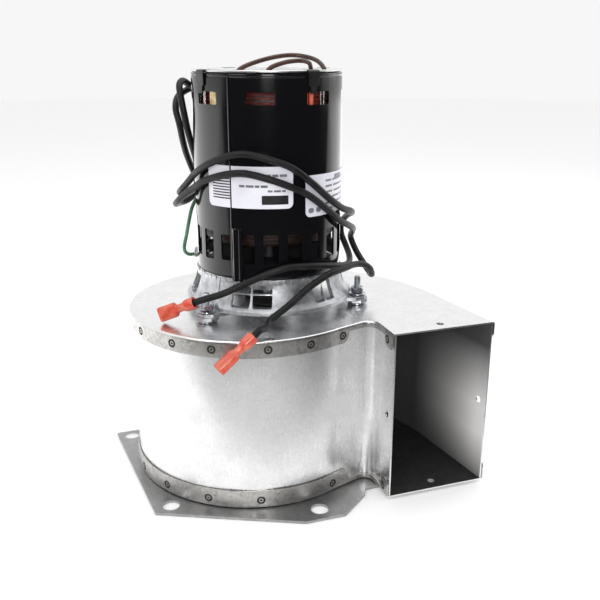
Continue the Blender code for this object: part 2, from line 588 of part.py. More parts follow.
bm = bmesh.new()
rod(bm, at_screw(-5), at_screw(2.6), 1.5 * MM, 12)
screw = place("ground_screw", bm, "zinc")
bm = bmesh.new()
rod(bm, at_screw(1.5), at_screw(3.6), 3.2 * MM, 6)
combine(screw, place("ground_screw_head", bm), "UNION")
bm = bmesh.new()
rod(bm, at_screw(0.35), at_screw(1.15), 3.8 * MM, 20)
ground_ring = place("ground_ring", bm, "zinc")
bm = bmesh.new()
block(bm, (0.6 * MM, 5.4 * MM, 3.0 * MM), Matrix.Translation(at_screw(0.75, 5.6)) @ ground_frame.to_3x3().to_4x4())
combine(ground_ring, place("ground_tongue", bm), "UNION")
bm = bmesh.new()
rod(bm, at_screw(-2), at_screw(3), 1.85 * MM, 12)
combine(ground_ring, place("ground_ring_bore", bm), "DIFFERENCE")
exit_run = [grommet_frame @ Vector((out * MM, 0, -3.4 * MM)) for out in (-2.4, 3.4, 4.6)]
ground_turns = [(-117, 47, 214.5), (-121, 44.6, 206), (-126, 43.8, 198), (-128, 43.6, 185), (-121, 43.8, 172),
                (-109, 44.6, 163), (-98, 46, 156), (-91, 47.2, 148), (-88, 48.5, 141), (-87, 49.9, 135),
                (-88, 50, 131.3), (-90, 48, 128.8), (-92.5, 45.2, 128.5)]
ground_route = smooth_route([*exit_run[1:], *(seen(*p) for p in ground_turns)], 6 * MM)
wire("ground_wire", [exit_run[0], *ground_route], GROUND_R, "lead_green")
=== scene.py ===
import math
import random

import bmesh
import bpy
from mathutils import Matrix, Vector, noise


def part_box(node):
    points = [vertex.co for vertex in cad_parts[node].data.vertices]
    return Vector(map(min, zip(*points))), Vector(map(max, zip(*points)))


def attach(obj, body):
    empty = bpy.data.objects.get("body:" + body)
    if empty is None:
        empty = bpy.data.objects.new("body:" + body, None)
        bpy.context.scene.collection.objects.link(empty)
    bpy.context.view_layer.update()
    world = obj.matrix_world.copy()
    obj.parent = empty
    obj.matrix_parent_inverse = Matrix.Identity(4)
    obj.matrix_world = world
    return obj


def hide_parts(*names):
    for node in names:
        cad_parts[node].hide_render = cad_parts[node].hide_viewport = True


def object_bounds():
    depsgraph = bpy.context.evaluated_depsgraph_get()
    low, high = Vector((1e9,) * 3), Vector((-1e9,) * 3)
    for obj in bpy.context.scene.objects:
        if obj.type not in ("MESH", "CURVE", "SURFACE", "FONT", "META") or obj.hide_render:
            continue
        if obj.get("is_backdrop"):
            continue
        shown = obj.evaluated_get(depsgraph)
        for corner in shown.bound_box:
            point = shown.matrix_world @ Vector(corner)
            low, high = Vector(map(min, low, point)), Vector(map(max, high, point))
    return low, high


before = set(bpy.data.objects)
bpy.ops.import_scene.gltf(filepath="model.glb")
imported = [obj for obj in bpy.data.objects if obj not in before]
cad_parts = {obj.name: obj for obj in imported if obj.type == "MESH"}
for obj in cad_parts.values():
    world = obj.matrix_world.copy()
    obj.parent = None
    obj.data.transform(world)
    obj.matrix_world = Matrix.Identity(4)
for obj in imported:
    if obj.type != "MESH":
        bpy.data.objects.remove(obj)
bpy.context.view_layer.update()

# Every shape below is drawn in millimetres round the motor's axis, +Z up, and placed at AXIS.

MM = 0.001
STATIC, ROTOR = "housing_and_motor", "rotor"
shell_low, shell_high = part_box("motor_shell")
AXIS = Vector(((shell_low.x + shell_high.x) / 2, (shell_low.y + shell_high.y) / 2, 0))
GAP = 0.3  # between the housing's wall and its lips
SEEN_TURN = -109.15  # degrees from the motor's front line to +X


def span(node):
    """A CAD node's lowest and highest corners in mm, from the motor's axis."""
    low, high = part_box(node)
    return (low - AXIS) / MM, (high - AXIS) / MM


def levels(node):
    """A CAD node's lowest and highest height in mm."""
    return [corner.z for corner in span(node)]


# Camera, at the photograph's viewing angle

camera = bpy.data.objects.new("camera", bpy.data.cameras.new("camera"))
camera.location = AXIS + Vector((-128.6, -426.6, 243.8)) * MM
camera.rotation_euler = (math.radians(72.107), 0, math.radians(-19.15))
camera.data.lens = 46.15
camera.data.sensor_width = 36
bpy.context.scene.collection.objects.link(camera)
bpy.context.scene.camera = camera


# Materials

MATERIALS = {}


class Tree:
    """A node tree; each helper adds a node and gives its output. A value is a number, a tuple or a socket."""

    def __init__(self, tree):
        self.nodes, self.links = tree.nodes, tree.links

    def fill(self, socket, value):
        if isinstance(value, bpy.types.NodeSocket):
            self.links.new(value, socket)
        else:
            socket.default_value = value

    def node(self, kind, inputs=None, output=0, **settings):
        made = self.nodes.new("ShaderNode" + kind)
        for key, value in settings.items():
            setattr(made, key, value)
        for key, value in (inputs or {}).items():
            self.fill(made.inputs[key], value)
        return made.outputs[output]

    def ramp(self, value, low, high, to_low=0.0, to_high=1.0):
        return self.node("MapRange", {0: value, 1: low, 2: high, 3: to_low, 4: to_high})

    def step(self, value, low, high):
        """A smooth step from 0 at low to 1 at high."""
        return self.node("MapRange", {0: value, 1: low, 2: high}, interpolation_type="SMOOTHSTEP")

    def blend(self, share, a, b):
        """The number a turned into b by share."""
        return self.node("Mix", {0: share, 2: a, 3: b})

    def product(self, a, b):
        return self.node("Math", {0: a, 1: b}, operation="MULTIPLY")

    def axis(self, vector, number):
        return self.node("SeparateXYZ", {0: vector}, number)


class Graph(Tree):
    """A Principled material whose colour, roughness and bump come from object-space textures."""

    def __init__(self, name, colour, rough, metallic=0.0, **sockets):
        material = bpy.data.materials.new(name)
        material.use_nodes = True
        MATERIALS[name] = material
        super().__init__(material.node_tree)
        self.shader = self.nodes["Principled BSDF"]
        self.place = self.node("TexCoord", output="Object")
        sockets.update(Base_Color=(*colour, 1), Roughness=rough, Metallic=metallic)
        for socket, value in sockets.items():
            self.set(socket.replace("_", " "), value)

    def set(self, socket, value):
        self.fill(self.shader.inputs[socket], value)

    def scaled(self, sizes):
        return self.node("Mapping", {"Vector": self.place, "Scale": [1 / (size * MM) for size in sizes]})

    def noise(self, size, detail=3, stretch=(1, 1, 1), rough=0.55):
        """Noise from 0 to 1 with blotches about size mm across, drawn out along each axis by stretch."""
        place = self.scaled([size * s for s in stretch])
        return self.node("TexNoise", {"Vector": place, "Scale": 1, "Detail": detail, "Roughness": rough}, "Fac")

    def cells(self, size):
        """A flat random value in each grain about size mm across."""
        colour = self.node("TexVoronoi", {"Vector": self.scaled([size] * 3), "Scale": 1}, "Color")
        return self.node("SeparateColor", {0: colour})

    def mix(self, share, a, b):
        """The colour a turned into b by share."""
        a, b = (value if isinstance(value, bpy.types.NodeSocket) else (*value, 1) for value in (a, b))
        return self.node("Mix", {0: share, 6: a, 7: b}, 2, data_type="RGBA")

    def bump(self, height, depth, strength=1.0):
        """Bumps depth mm deep."""
        bumps = self.node("Bump", {"Height": height, "Strength": strength, "Distance": depth * MM})
        self.set("Normal", bumps)


def mottled(name, colours, patch, rough, sheen, grain, depth, strength, metallic=0.0, **sockets):
    """Two colours in patches, uneven roughness and fine bumps; a noise is (size, detail, low, high)."""
    g = Graph(name, colours[-1], rough, metallic, **sockets)
    g.set("Base Color", g.mix(g.ramp(g.noise(*patch), 0.35, 0.65), *colours[:2]))
    size, detail, low, high = sheen
    g.set("Roughness", g.ramp(g.noise(size, detail), 0.3, 0.7, low, high))
    g.bump(g.noise(*grain), depth, strength)


def sheet_steel(name, dark, light, rough, stain=0.0):
    """Rolled sheet: faint grains, fine upright brushing, and tarnish as strong as stain."""
    g = Graph(name, light, rough, 1.0)
    grain = g.blend(0.72, g.cells(1.6), g.noise(11, 4))
    colour = g.mix(g.ramp(grain, 0.25, 0.75), dark, light)
    if stain:
        spots = g.ramp(g.noise(1.9, 6, rough=0.78), 0.47, 0.66)
        patches = g.ramp(g.noise(13, 3), 0.36, 0.60)
        colour = g.mix(g.ramp(g.product(spots, patches), 0, 1, 0, stain), colour, (0.20, 0.18, 0.165))
    g.set("Base Color", colour)
    fine = g.noise(0.5, 3, (1, 1, 18))
    g.set("Roughness", g.ramp(g.blend(0.6, fine, g.noise(14, 3)), 0.3, 0.7, rough - 0.07, rough + 0.1))
    g.bump(g.blend(0.35, fine, g.noise(30, 2)), 0.06, 0.55)


def plastic(name, colour, other, rough, grain=0.25, depth=0.02, **sockets):
    """Moulded or extruded plastic or rubber."""
    sheen = (2.5, 4, rough - 0.06, rough + 0.08)
    mottled(name, (colour, other, colour), (7, 4), rough, sheen, (grain, 3), depth, 0.5, **sockets)


def plated(name, dark, light, rough):
    sheen = (1.2, 4, rough - 0.08, rough + 0.12)
    mottled(name, (dark, light), (2.2, 4), rough, sheen, (0.35, 4), 0.02, 0.6, 1.0)


def enamelled_wire(name, dark, light):
    mottled(name, (dark, light), (4, 4), 0.4, (1.5, 3, 0.35, 0.55), (0.8, 3), 0.04, 0.6, 0.1, Coat_Weight=0.1,
            Coat_Roughness=0.25)


def duct_steel():
    """The wall's inner side, with light and shade painted into its colour: dark painted shade deeper in, and a
    pale painted pool of light near the mouth of the outlet.
    """
    g = Graph("inner_steel_painted_light_and_shade", (0.3, 0.3, 0.3), 0.5, 0.3)
    # sheen here is the painted pool of light. Where it fades, the dark colour is painted shade.
    sheen = g.ramp(g.axis(g.place, 1), -0.012, -0.074)
    for low, high in ((0.086, 0.048), (-0.004, 0.030)):
        sheen = g.product(sheen, g.ramp(g.axis(g.place, 2), low, high))
    g.set("Base Color", g.mix(sheen, (0.085, 0.085, 0.087), (0.96, 0.95, 0.93)))
    fine = g.noise(0.5, 3, (1, 1, 18))
    g.set("Roughness", g.ramp(fine, 0.3, 0.7, 0.42, 0.58))
    g.bump(fine, 0.05, 0.5)


def black_enamel():
    g = Graph("shell_black", (0.004, 0.004, 0.005), 0.16, 0.0, IOR=1.52)
    dust = g.ramp(g.noise(1.1, 5, rough=0.8), 0.62, 0.80, 0, 0.5)
    g.set("Base Color", g.mix(dust, (0.003, 0.003, 0.004), (0.02, 0.02, 0.021)))
    g.set("Roughness", g.ramp(g.noise(20, 5), 0.3, 0.7, 0.09, 0.15))
    g.bump(g.blend(0.5, g.noise(1.6, 2), g.noise(26, 2)), 0.02, 0.3)


def cast_metal():
    g = Graph("cast_aluminium", (0.60, 0.61, 0.62), 0.42, 1.0)
    blotch = g.ramp(g.noise(5, 5, rough=0.7), 0.35, 0.68)
    g.set("Base Color", g.mix(blotch, (0.40, 0.41, 0.43), (0.72, 0.73, 0.75)))
    g.set("Roughness", g.ramp(g.noise(3, 4), 0.3, 0.7, 0.34, 0.56))
    g.bump(g.blend(0.4, g.noise(0.7, 5, rough=0.7), g.noise(4, 3)), 0.12, 0.8)


def lamination_steel():
    g = Graph("laminations", (0.22, 0.22, 0.24), 0.5, 1.0)
    g.set("Base Color", g.mix(g.noise(6, 4), (0.13, 0.13, 0.14), (0.30, 0.29, 0.29)))
    g.bump(g.noise(0.5, 2, (60, 60, 1)), 0.1, 0.9)


sheet_steel("housing_steel", (0.80, 0.80, 0.805), (0.90, 0.90, 0.905), 0.27)
duct_steel()
# Near-black painted shade for the duct's floor, which is the same sheet steel lying in shade.
plastic("duct_floor_painted_shade", (0.012, 0.012, 0.012), (0.022, 0.022, 0.022), 0.6)
sheet_steel("lip_steel", (0.42, 0.41, 0.395), (0.62, 0.61, 0.59), 0.34, stain=0.8)
# Dark painted shade for the clinches' grooves and centre dots, which are the same sheet steel in shade.
plated("groove_painted_shade", (0.05, 0.047, 0.043), (0.14, 0.13, 0.12), 0.5)
sheet_steel("plate_steel", (0.32, 0.32, 0.325), (0.42, 0.42, 0.42), 0.36)
sheet_steel("end_steel", (0.66, 0.66, 0.66), (0.80, 0.80, 0.80), 0.34)
sheet_steel("clip_steel", (0.06, 0.06, 0.06), (0.11, 0.11, 0.11), 0.45)
plated("zinc", (0.46, 0.49, 0.53), (0.72, 0.74, 0.77), 0.26)
plated("tinned", (0.66, 0.66, 0.64), (0.86, 0.85, 0.82), 0.25)
cast_metal()
black_enamel()
lamination_steel()
enamelled_wire("copper_wire", (0.045, 0.004, 0.003), (0.16, 0.014, 0.008))
enamelled_wire("coil_dark", (0.008, 0.003, 0.002), (0.025, 0.006, 0.004))
enamelled_wire("coil_cream", (0.42, 0.30, 0.14), (0.85, 0.72, 0.46))
enamelled_wire("coil_orange", (0.40, 0.05, 0.02), (0.70, 0.12, 0.05))
plated("shaft_steel", (0.45, 0.45, 0.46), (0.62, 0.62, 0.63), 0.24)
plated("bronze", (0.34, 0.22, 0.09), (0.55, 0.38, 0.17), 0.35)
mottled("label_white", ((0.54, 0.53, 0.61), (0.67, 0.67, 0.71), (0.60, 0.59, 0.66)), (30, 3), 0.38,
        (6, 3, 0.32, 0.46), (0.3, 3), 0.01, 0.4)
plastic("label_ink", (0.006, 0.006, 0.007), (0.014, 0.014, 0.016), 0.4)
plastic("label_grey", (0.10, 0.10, 0.12), (0.16, 0.16, 0.19), 0.4)
plastic("lead_black", (0.006, 0.006, 0.006), (0.012, 0.012, 0.013), 0.42, 0.5, 0.04, Specular_IOR_Level=0.28)
plastic("lead_brown", (0.040, 0.017, 0.012), (0.075, 0.034, 0.024), 0.34)
plastic("lead_green", (0.04, 0.13, 0.07), (0.09, 0.22, 0.13), 0.40)
mottled("terminal_red", ((0.80, 0.10, 0.055), (0.92, 0.24, 0.14), (0.85, 0.10, 0.05)), (5, 3), 0.28,
        (2.5, 3, 0.16, 0.28), (2.2, 2), 0.03, 0.25, Transmission_Weight=0.45, IOR=1.5, Coat_Weight=0.3,
        Coat_Roughness=0.1)
plastic("black_rubber", (0.010, 0.010, 0.011), (0.020, 0.020, 0.022), 0.6, 0.5, 0.06)
plastic("plastic", (0.012, 0.012, 0.013), (0.024, 0.024, 0.026), 0.45)


# Mesh tools

def polar(degrees, radius, z=0.0):
    a = math.radians(degrees)
    return Vector((radius * math.cos(a), radius * math.sin(a), z))


def seen(turn, radius, z):
    """A point by its direction from the motor's front line, its distance from the axis and height."""
    return polar(SEEN_TURN + turn, radius, z)


def radial(degrees, radius, z):
    """A frame on a cylinder round the axis: X outward, Y round the axis, Z up."""
    return Matrix.Translation(polar(degrees, radius, z)) @ Matrix.Rotation(math.radians(degrees), 4, "Z")


def bridge(bm, rings, closed=True, index=0):
    """Quads between rings of as many points each; closed rings meet themselves."""
    loops = [[bm.verts.new(p) for p in ring] for ring in rings]
    for a, b in zip(loops, loops[1:]):
        for i in range(len(a) if closed else len(a) - 1):
            j = (i + 1) % len(a)
            bm.faces.new((a[i], a[j], b[j], b[i])).material_index = index
    return loops


def capped(bm, rings, index=0):
    loops = bridge(bm, rings, True, index)
    bm.faces.new(loops[0]).material_index = index
    bm.faces.new(loops[-1]).material_index = index


def prism(bm, outline, low, high, stand=Matrix()):
    capped(bm, [[stand @ Vector((x, y, z)) for x, y in outline] for z in (low, high)])


def lathe(bm, profile, steps=96, stand=Matrix(), index=0):
    """A closed ring: the profile of (radius, height) points turned about the axis."""
    rings = [[stand @ polar(360 * k / steps, r, z) for k in range(steps)] for r, z in [*profile, profile[0]]]
    bridge(bm, rings, True, index)
    bmesh.ops.remove_doubles(bm, verts=bm.verts, dist=1e-4)


def turned(bm, profile, steps=32, stand=Matrix(), index=0):
    """A turned solid whose profile runs from the axis to the axis: its ends are capped."""
    capped(bm, [[stand @ polar(360 * k / steps, r, z) for k in range(steps)] for r, z in profile], index)


def rod(bm, start, end, radius, sides=24):
    run = Vector(end) - Vector(start)
    turn = Vector((0, 0, 1)).rotation_difference(run).to_matrix().to_4x4()
    middle = Matrix.Translation((Vector(start) + Vector(end)) / 2)
    bmesh.ops.create_cone(bm, cap_ends=True, segments=sides, radius1=radius, radius2=radius, depth=run.length,
                          matrix=middle @ turn)


def rounded(corners, radius, steps=5):
    """A flat outline with each corner rounded."""
    found = []
    for i, corner in enumerate(corners):
        here = Vector(corner)
        back = (Vector(corners[i - 1]) - here).normalized()
        ahead = (Vector(corners[(i + 1) % len(corners)]) - here).normalized()
        half = back.angle(ahead) / 2
        reach = radius / math.tan(half)
        centre = here + (back + ahead).normalized() * radius / math.sin(half)
        first, last = here + back * reach - centre, here + ahead * reach - centre
        for k in range(steps + 1):
            found.append(tuple(centre + first.slerp(last, k / steps)))
    return found


def slot_outline(width, height, radius, steps=5):
    w, h = width / 2, height / 2
    return rounded([(-w, -h), (w, -h), (w, h), (-w, h)], radius, steps)


OUTWARD = Matrix(((0, 0, 1, 0), (1, 0, 0, 0), (0, 1, 0, 0), (0, 0, 0, 1)))  # a prism's height runs outward


def window(bm, degrees, radius, z, width, height, corner, depth=12):
    """A cutter with rounded corners through a wall round the axis."""
    prism(bm, slot_outline(width, height, corner), -depth / 2, depth / 2, radial(degrees, radius, z) @ OUTWARD)


def outward(bm):
    """Turns the faces outward; a closed mesh is checked by its volume."""
    bmesh.ops.recalc_face_normals(bm, faces=bm.faces)
    if all(len(edge.link_faces) == 2 for edge in bm.edges) and bm.calc_volume(signed=True) < 0:
        bmesh.ops.reverse_faces(bm, faces=bm.faces)


def modified(bm, *steps):
    """The mesh after modifiers, each given as (type, settings)."""
    outward(bm)
    mesh = bpy.data.meshes.new("work")
    bm.to_mesh(mesh)
    bm.free()
    obj = bpy.data.objects.new("work", mesh)
    bpy.context.scene.collection.objects.link(obj)
    for kind, settings in steps:
        modifier = obj.modifiers.new(kind, kind)
        for key, value in settings.items():
            setattr(modifier, key, value)
    shaped = bpy.data.meshes.new_from_object(obj.evaluated_get(bpy.context.evaluated_depsgraph_get()))
    result = bmesh.new()
    result.from_mesh(shaped)
    bpy.data.objects.remove(obj)
    bpy.data.meshes.remove(mesh)
    bpy.data.meshes.remove(shaped)
    return result


def combined(bm, tool, operation="DIFFERENCE", overlapping=False):
    """bm cut by or limited to the tool; overlapping for a mesh that may touch itself."""
    outward(tool)
    mesh = bpy.data.meshes.new("tool")
    tool.to_mesh(mesh)
    tool.free()
    cutter = bpy.data.objects.new("tool", mesh)
    bpy.context.scene.collection.objects.link(cutter)
    result = modified(bm, ("BOOLEAN", {"operation": operation, "solver": "EXACT", "use_self": overlapping,
                                       "object": cutter}))
    bpy.data.objects.remove(cutter)
    bpy.data.meshes.remove(mesh)
    return result


def softened(bm, width, segments=2, angle=35):
    return modified(bm, ("BEVEL", {"width": width, "segments": segments, "limit_method": "ANGLE",
                                   "angle_limit": math.radians(angle), "harden_normals": False}))


def thickened(bm, thickness, back=0):
    """A sheet given its thickness behind its drawn side; the new side takes the material index back."""
    count = len(bm.faces)
    bm = modified(bm, ("SOLIDIFY", {"thickness": thickness, "offset": -1, "use_even_offset": True}))
    if back:
        bm.faces.ensure_lookup_table()
        for face in bm.faces[count:2 * count]:
            face.material_index = back
    return bm


def placed(name, data, nodes, body=STATIC):
    """A piece at the motor's axis, with its body and the CAD nodes that it stands for."""
    obj = bpy.data.objects.new(name, data)
    bpy.context.scene.collection.objects.link(obj)
    obj.location = AXIS
    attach(obj, body)
    if nodes:
        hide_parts(*nodes)
    return obj


def piece(name, bm, slot, *nodes, body=STATIC, extra=(), sharp=32):
    """The mesh as a piece, finished in the slot's material and the extra ones."""
    outward(bm)
    bm.transform(Matrix.Scale(MM, 4))
    mesh = bpy.data.meshes.new(name)
    bm.to_mesh(mesh)
    bm.free()
    for material in (slot, *extra):
        mesh.materials.append(MATERIALS[material])
    mesh.shade_smooth()
    mesh.set_sharp_from_angle(angle=math.radians(sharp))
    obj = placed(name, mesh, nodes, body)
    weighted = obj.modifiers.new("weighted", "WEIGHTED_NORMAL")
    weighted.keep_sharp = True
    weighted.weight = 90
    return obj


def smooth_route(points, spacing):
    """Points evenly spaced along a smooth line through the given ones."""
    ends = [points[0] * 2 - points[1], *points, points[-1] * 2 - points[-2]]
    fine = []
    for a, b, c, d in zip(ends, ends[1:], ends[2:], ends[3:]):
        for k in range(12):
            t = k / 12
            fine.append(0.5 * (2 * b + (c - a) * t + (2 * a - 5 * b + 4 * c - d) * t * t
                               + (3 * b - a - 3 * c + d) * t ** 3))
    fine.append(points[-1])
    along = [0.0]
    for a, b in zip(fine, fine[1:]):
        along.append(along[-1] + (b - a).length)
    count = round(along[-1] / spacing)
    route, i = [], 0
    for k in range(count + 1):
        at = along[-1] * k / count
        while i < len(fine) - 2 and along[i + 1] < at:
            i += 1
        route.append(fine[i].lerp(fine[i + 1], (at - along[i]) / (along[i + 1] - along[i])))
    return route


def wire(name, routes, radius, slot, *nodes, resolution=5, closed=False):
    """Round wires along the routes, in mm, as one piece."""
    curve = bpy.data.curves.new(name, "CURVE")
    curve.dimensions = "3D"
    curve.bevel_depth = radius * MM
    curve.bevel_resolution = resolution
    curve.use_fill_caps = not closed
    for route in routes:
        spline = curve.splines.new("POLY")
        spline.points.add(len(route) - 1)
        for point, position in zip(spline.points, route):
            point.co = (*(position * MM), 1)
        spline.use_cyclic_u = closed
    curve.materials.append(MATERIALS[slot])
    return placed(name, curve, nodes)


# Lead exit, leads and terminals. The routes' points are the CAD's own.

LEAD_R, BROWN_R, GROUND_R = 1.9, 1.2, 1.05
SHELL_R = (shell_high.x - shell_low.x) / 2 / MM
GROMMET = radial(-223.85, SHELL_R, 224)
TERMINALS = [((-52.4, -32.8, 114.1), (-69.5, -21.9, 105.5), (-0.16, -0.94, 0.31)),
             ((-29.9, -69.9, 105.0), (-49.6, -72.3, 89.7), (0, 0, 1))]
LEAD_ROUTES = [
    [(-103, 49.5, 228), (-94, 49.5, 226), (-88, 48, 219), (-87, 46.5, 210), (-92, 45.5, 201), (-100, 45, 192),
     (-109, 45.8, 183), (-115, 47.4, 174), (-115, 48.6, 167), (-108, 49.4, 164), (-99, 51, 163.8),
     (-90, 51.5, 165.8), (-81, 49.7, 169), (-72, 46.8, 174), (-62, 44.9, 179.7), (-50, 44.8, 184.3),
     (-38.7, 44.8, 188.1), (-24, 44.8, 192.2), (-11, 44.8, 193.2), (3.5, 44.8, 190.7), (18.2, 44.8, 186.2),
     (33.4, 44.8, 177.6), (49.2, 45, 168.1), (66, 45.8, 160.5), (80, 48, 156.8), (93, 49, 153.5),
     (106, 48.5, 149.5), (115, 48.5, 143.5), (116, 49, 136.5), (108, 49, 130.5), (97, 48.5, 127),
     (86, 47.8, 125.2), (75, 47, 125.8), (62, 46.4, 127.7), (48, 46.3, 130.2), (30, 46.3, 132.4),
     (15, 46.3, 132.9), (4, 46.4, 130.6), (-6, 46.6, 127.2), (-16, 48, 123.3), (-26, 53.5, 119)],
    [(-112, 51.5, 222.5), (-102, 53, 219), (-93, 52, 213), (-91, 50, 205), (-97, 49.8, 196), (-106, 50.8, 187),
     (-115, 52.2, 178), (-121, 52.6, 169), (-120, 53, 161.5), (-112, 53.5, 158), (-102, 55, 157.6),
     (-93, 54.5, 158.6), (-84, 52.5, 161.5), (-74, 48.8, 167), (-63, 45.6, 172), (-48, 44.8, 177.4),
     (-28.5, 44.8, 182), (-13.6, 44.8, 183.3), (1, 44.8, 180.9), (14.6, 44.8, 177.2), (30.6, 44.8, 171.2),
     (47.7, 45, 161.9), (64, 45.8, 153.5), (78, 47.5, 148.7), (92, 49.7, 144.5), (105, 52.2, 140.3),
     (113, 54.2, 134.5), (109, 56, 127), (101, 58.5, 120.5), (93, 60.6, 116.8), (86, 61.3, 117.8),
     (81, 60.3, 122.6), (76, 57, 126.3), (69, 53.5, 127.8), (60, 51.7, 127.8), (50, 51, 127.6),
     (41, 50.8, 126.7), (27.5, 50.5, 121.5), (14.5, 52.7, 114), (3.4, 56.6, 107.6), (0.7, 61.5, 105.6),
     (-0.1, 66.5, 106)],
]


def loft(stations, length, stand, sides=36):
    """Rings (share of the length, half width, half thickness, squareness) joined into an open skin."""
    rings = []
    for share, wide, thick, square in stations:
        power = 1 - 0.5 * square
        ring = []
        for k in range(sides):
            a = 2 * math.pi * (k + 0.5) / sides
            c, s = math.cos(a), math.sin(a)
            ring.append(stand @ Vector((math.copysign(abs(c) ** power, c) * wide,
                                        math.copysign(abs(s) ** power, s) * thick, share * length)))
        rings.append(ring)
    bm = bmesh.new()
    bridge(bm, rings)
    return bm


def eased(stations, count):
    """The stations with count smooth ones between each two."""
    found = []
    for a, b in zip(stations, stations[1:]):
        for k in range(count):
            t = k / count
            t = t * t * (3 - 2 * t)
            found.append([x + (y - x) * t for x, y in zip(a, b)])
            found[-1][0] = a[0] + (b[0] - a[0]) * k / count
    return [*found, list(stations[-1])]


def terminal(number, back, tip, facing):
    """A nylon sleeve over a flat push-on tab: round barrel, neck, and the flat housing open at its end."""
    run = (tip - back).normalized()
    side = run.cross(Vector(facing)).normalized()
    stand = Matrix.Translation(back) @ Matrix((side, side.cross(run), run)).transposed().to_4x4()
    length = (tip - back).length
    outer = [(0, 3.25, 3.15, 0), (0.02, 3.5, 3.4, 0), (0.22, 3.45, 3.3, 0), (0.36, 2.35, 2.2, 0.1),
             (0.47, 2.35, 2.1, 0.2), (0.57, 4.15, 2.5, 0.9), (0.97, 4.2, 2.6, 0.95), (1.0, 4.05, 2.45, 0.95)]
    skin = thickened(loft(eased(outer, 4), length, stand), 0.65)
    ribs = bmesh.new()
    for across in (-1.5, 1.5):
        for flip in (-1, 1):
            rod(ribs, stand @ Vector((across, flip * 2.45, 0.60 * length)),
                stand @ Vector((across, flip * 2.45, 0.985 * length)), 0.32, 8)
    into(skin, ribs)
    sleeve = piece(f"nylon_sleeve_{number}", skin, "terminal_red", f"terminal_sleeve_{number}", sharp=40)

    bm = bmesh.new()
    curl = [(-1.2, 0.75), (-1.5, 1.25), (-2.2, 1.5), (-2.85, 1.2), (-3.1, 0.5), (-2.95, -0.4), (-2.4, -0.9)]
    section = [*curl, *((-x, y) for x, y in reversed(curl))]
    bridge(bm, [[stand @ Vector((x, y - 0.15, z * length)) for x, y in section]
                for z in (0.60, 0.66, 0.72, 0.78, 0.84, 0.90, 0.965)], closed=False)
    bm = thickened(bm, 0.35)
    barrel = bmesh.new()
    rod(barrel, stand @ Vector((0, 0, 0.30 * length)), stand @ Vector((0, 0, 0.56 * length)), 1.7, 20)
    into(bm, barrel)
    tab = piece(f"push_on_tab_{number}", bm, "zinc", f"terminal_tab_{number}")
    return sleeve, tab


def into(bm, other):
    """other's faces added to bm."""
    mesh = bpy.data.meshes.new("moved")
    other.to_mesh(mesh)
    other.free()
    bm.from_mesh(mesh)
    bpy.data.meshes.remove(mesh)


for number, (turns, (back, tip, facing)) in enumerate(zip(LEAD_ROUTES, TERMINALS), 1):
    back, tip = Vector(back), Vector(tip)
    side = 1 if number == 1 else -1
    leaving = [GROMMET @ Vector((out, side * 2.9, 0.8)) for out in (-2.4, 4.2, 5.8)]
    crimp = [back.lerp(tip, share) for share in (-0.16, 0, 0.2)]
    route = [leaving[0], *smooth_route([*leaving[1:], *(seen(*p) for p in turns), *crimp], 2.5)]
    lead = wire(f"motor_lead_{number}", [route], LEAD_R, "lead_black", f"black_lead_{number}", resolution=8)
    pieces = terminal(number, back, tip, facing)

def seen_route(turns, spacing, start=()):
    return smooth_route([*start, *(seen(*p) for p in turns)], spacing)


BROWN_ROUTES = [
    [(-25.85, 30, 229), (-25.85, 30, 235), (0, 18, 240), (60, 16, 242), (71, 27.5, 240), (64.15, 35, 235),
     (64.15, 35, 229)],
    [(4.15, 30, 229), (4.15, 30, 235), (20, 28.8, 238.3), (39, 28.4, 239.3), (55, 28, 238.3), (64.15, 27, 235),
     (64.15, 27, 229)],
]
for number, turns in enumerate(BROWN_ROUTES, 1):
    wire(f"coil_lead_{number}", [seen_route(turns, 1.2)], BROWN_R, "lead_brown", f"brown_lead_{number}")

exit_run = [GROMMET @ Vector((out, 0, -3.4)) for out in (-2.4, 3.4, 4.6)]
ground_turns = [(-117, 47, 214.5), (-121, 44.6, 206), (-126, 43.8, 198), (-128, 43.6, 185), (-121, 43.8, 172),
                (-109, 44.6, 163), (-98, 46, 156), (-91, 47.2, 148), (-88, 48.5, 141), (-87, 49.9, 135),
                (-88, 50, 131.3), (-90, 48, 128.8), (-92.5, 45.2, 128.5)]
ground_route = [exit_run[0], *seen_route(ground_turns, 2, exit_run[1:])]
wire("earth_wire", [ground_route], GROUND_R, "lead_green", "ground_wire")

bm = bmesh.new()
UPRIGHT = GROMMET @ Matrix.Rotation(math.pi / 2, 4, "Y")  # the exit's own axis as Z
turned(bm, [(5.3, -2.6), (5.8, -2.1), (5.8, -1.3), (5.6, -1.0), (5.6, 0.2), (7.2, 0.4), (7.5, 0.8), (7.4, 1.3),
            (6.6, 1.9), (5.9, 2.6), (5.3, 3.0)], 48, UPRIGHT)
bores = bmesh.new()
for side, up, radius in ((-2.9, 0.8, 2.1), (2.9, 0.8, 2.1), (0, -3.4, 1.25)):
    rod(bores, *(GROMMET @ Vector((out, side, up)) for out in (-8, 8)), radius)
piece("exit_grommet", softened(combined(bm, bores), 0.25), "black_rubber", "lead_grommet")


# Housing sheets, along the spiral from the outlet's left edge round to its right one

SHEET = 0.9
TOP_Z = levels("top_plate")[1]
BOTTOM_Z = levels("bottom_plate")[0]
OUTLET_Y = span("top_plate")[0].y
DUCT_LEFT, DUCT_RIGHT = 43.5, span("top_plate")[1].x
NOTCH_R = 5.5
FLARE = (20.0, -63.0)
FLARE_ANGLE = math.radians(18.3)
LEFT_ARC = (-10.7, 3.1, 72.9)
BACK_ARC_R = 95.0
RIGHT_ARC = (-19.9, -36.4, 120.0)
RIGHT_END = 6.5
STEP = 1.0
BEND = 1.3
SLIM_LIP = 3.4


def straight(a, b, inward):
    count = max(1, round(math.dist(a, b) / STEP))
    return [(a[0] + (b[0] - a[0]) * k / count, a[1] + (b[1] - a[1]) * k / count, *inward)
            for k in range(count + 1)]


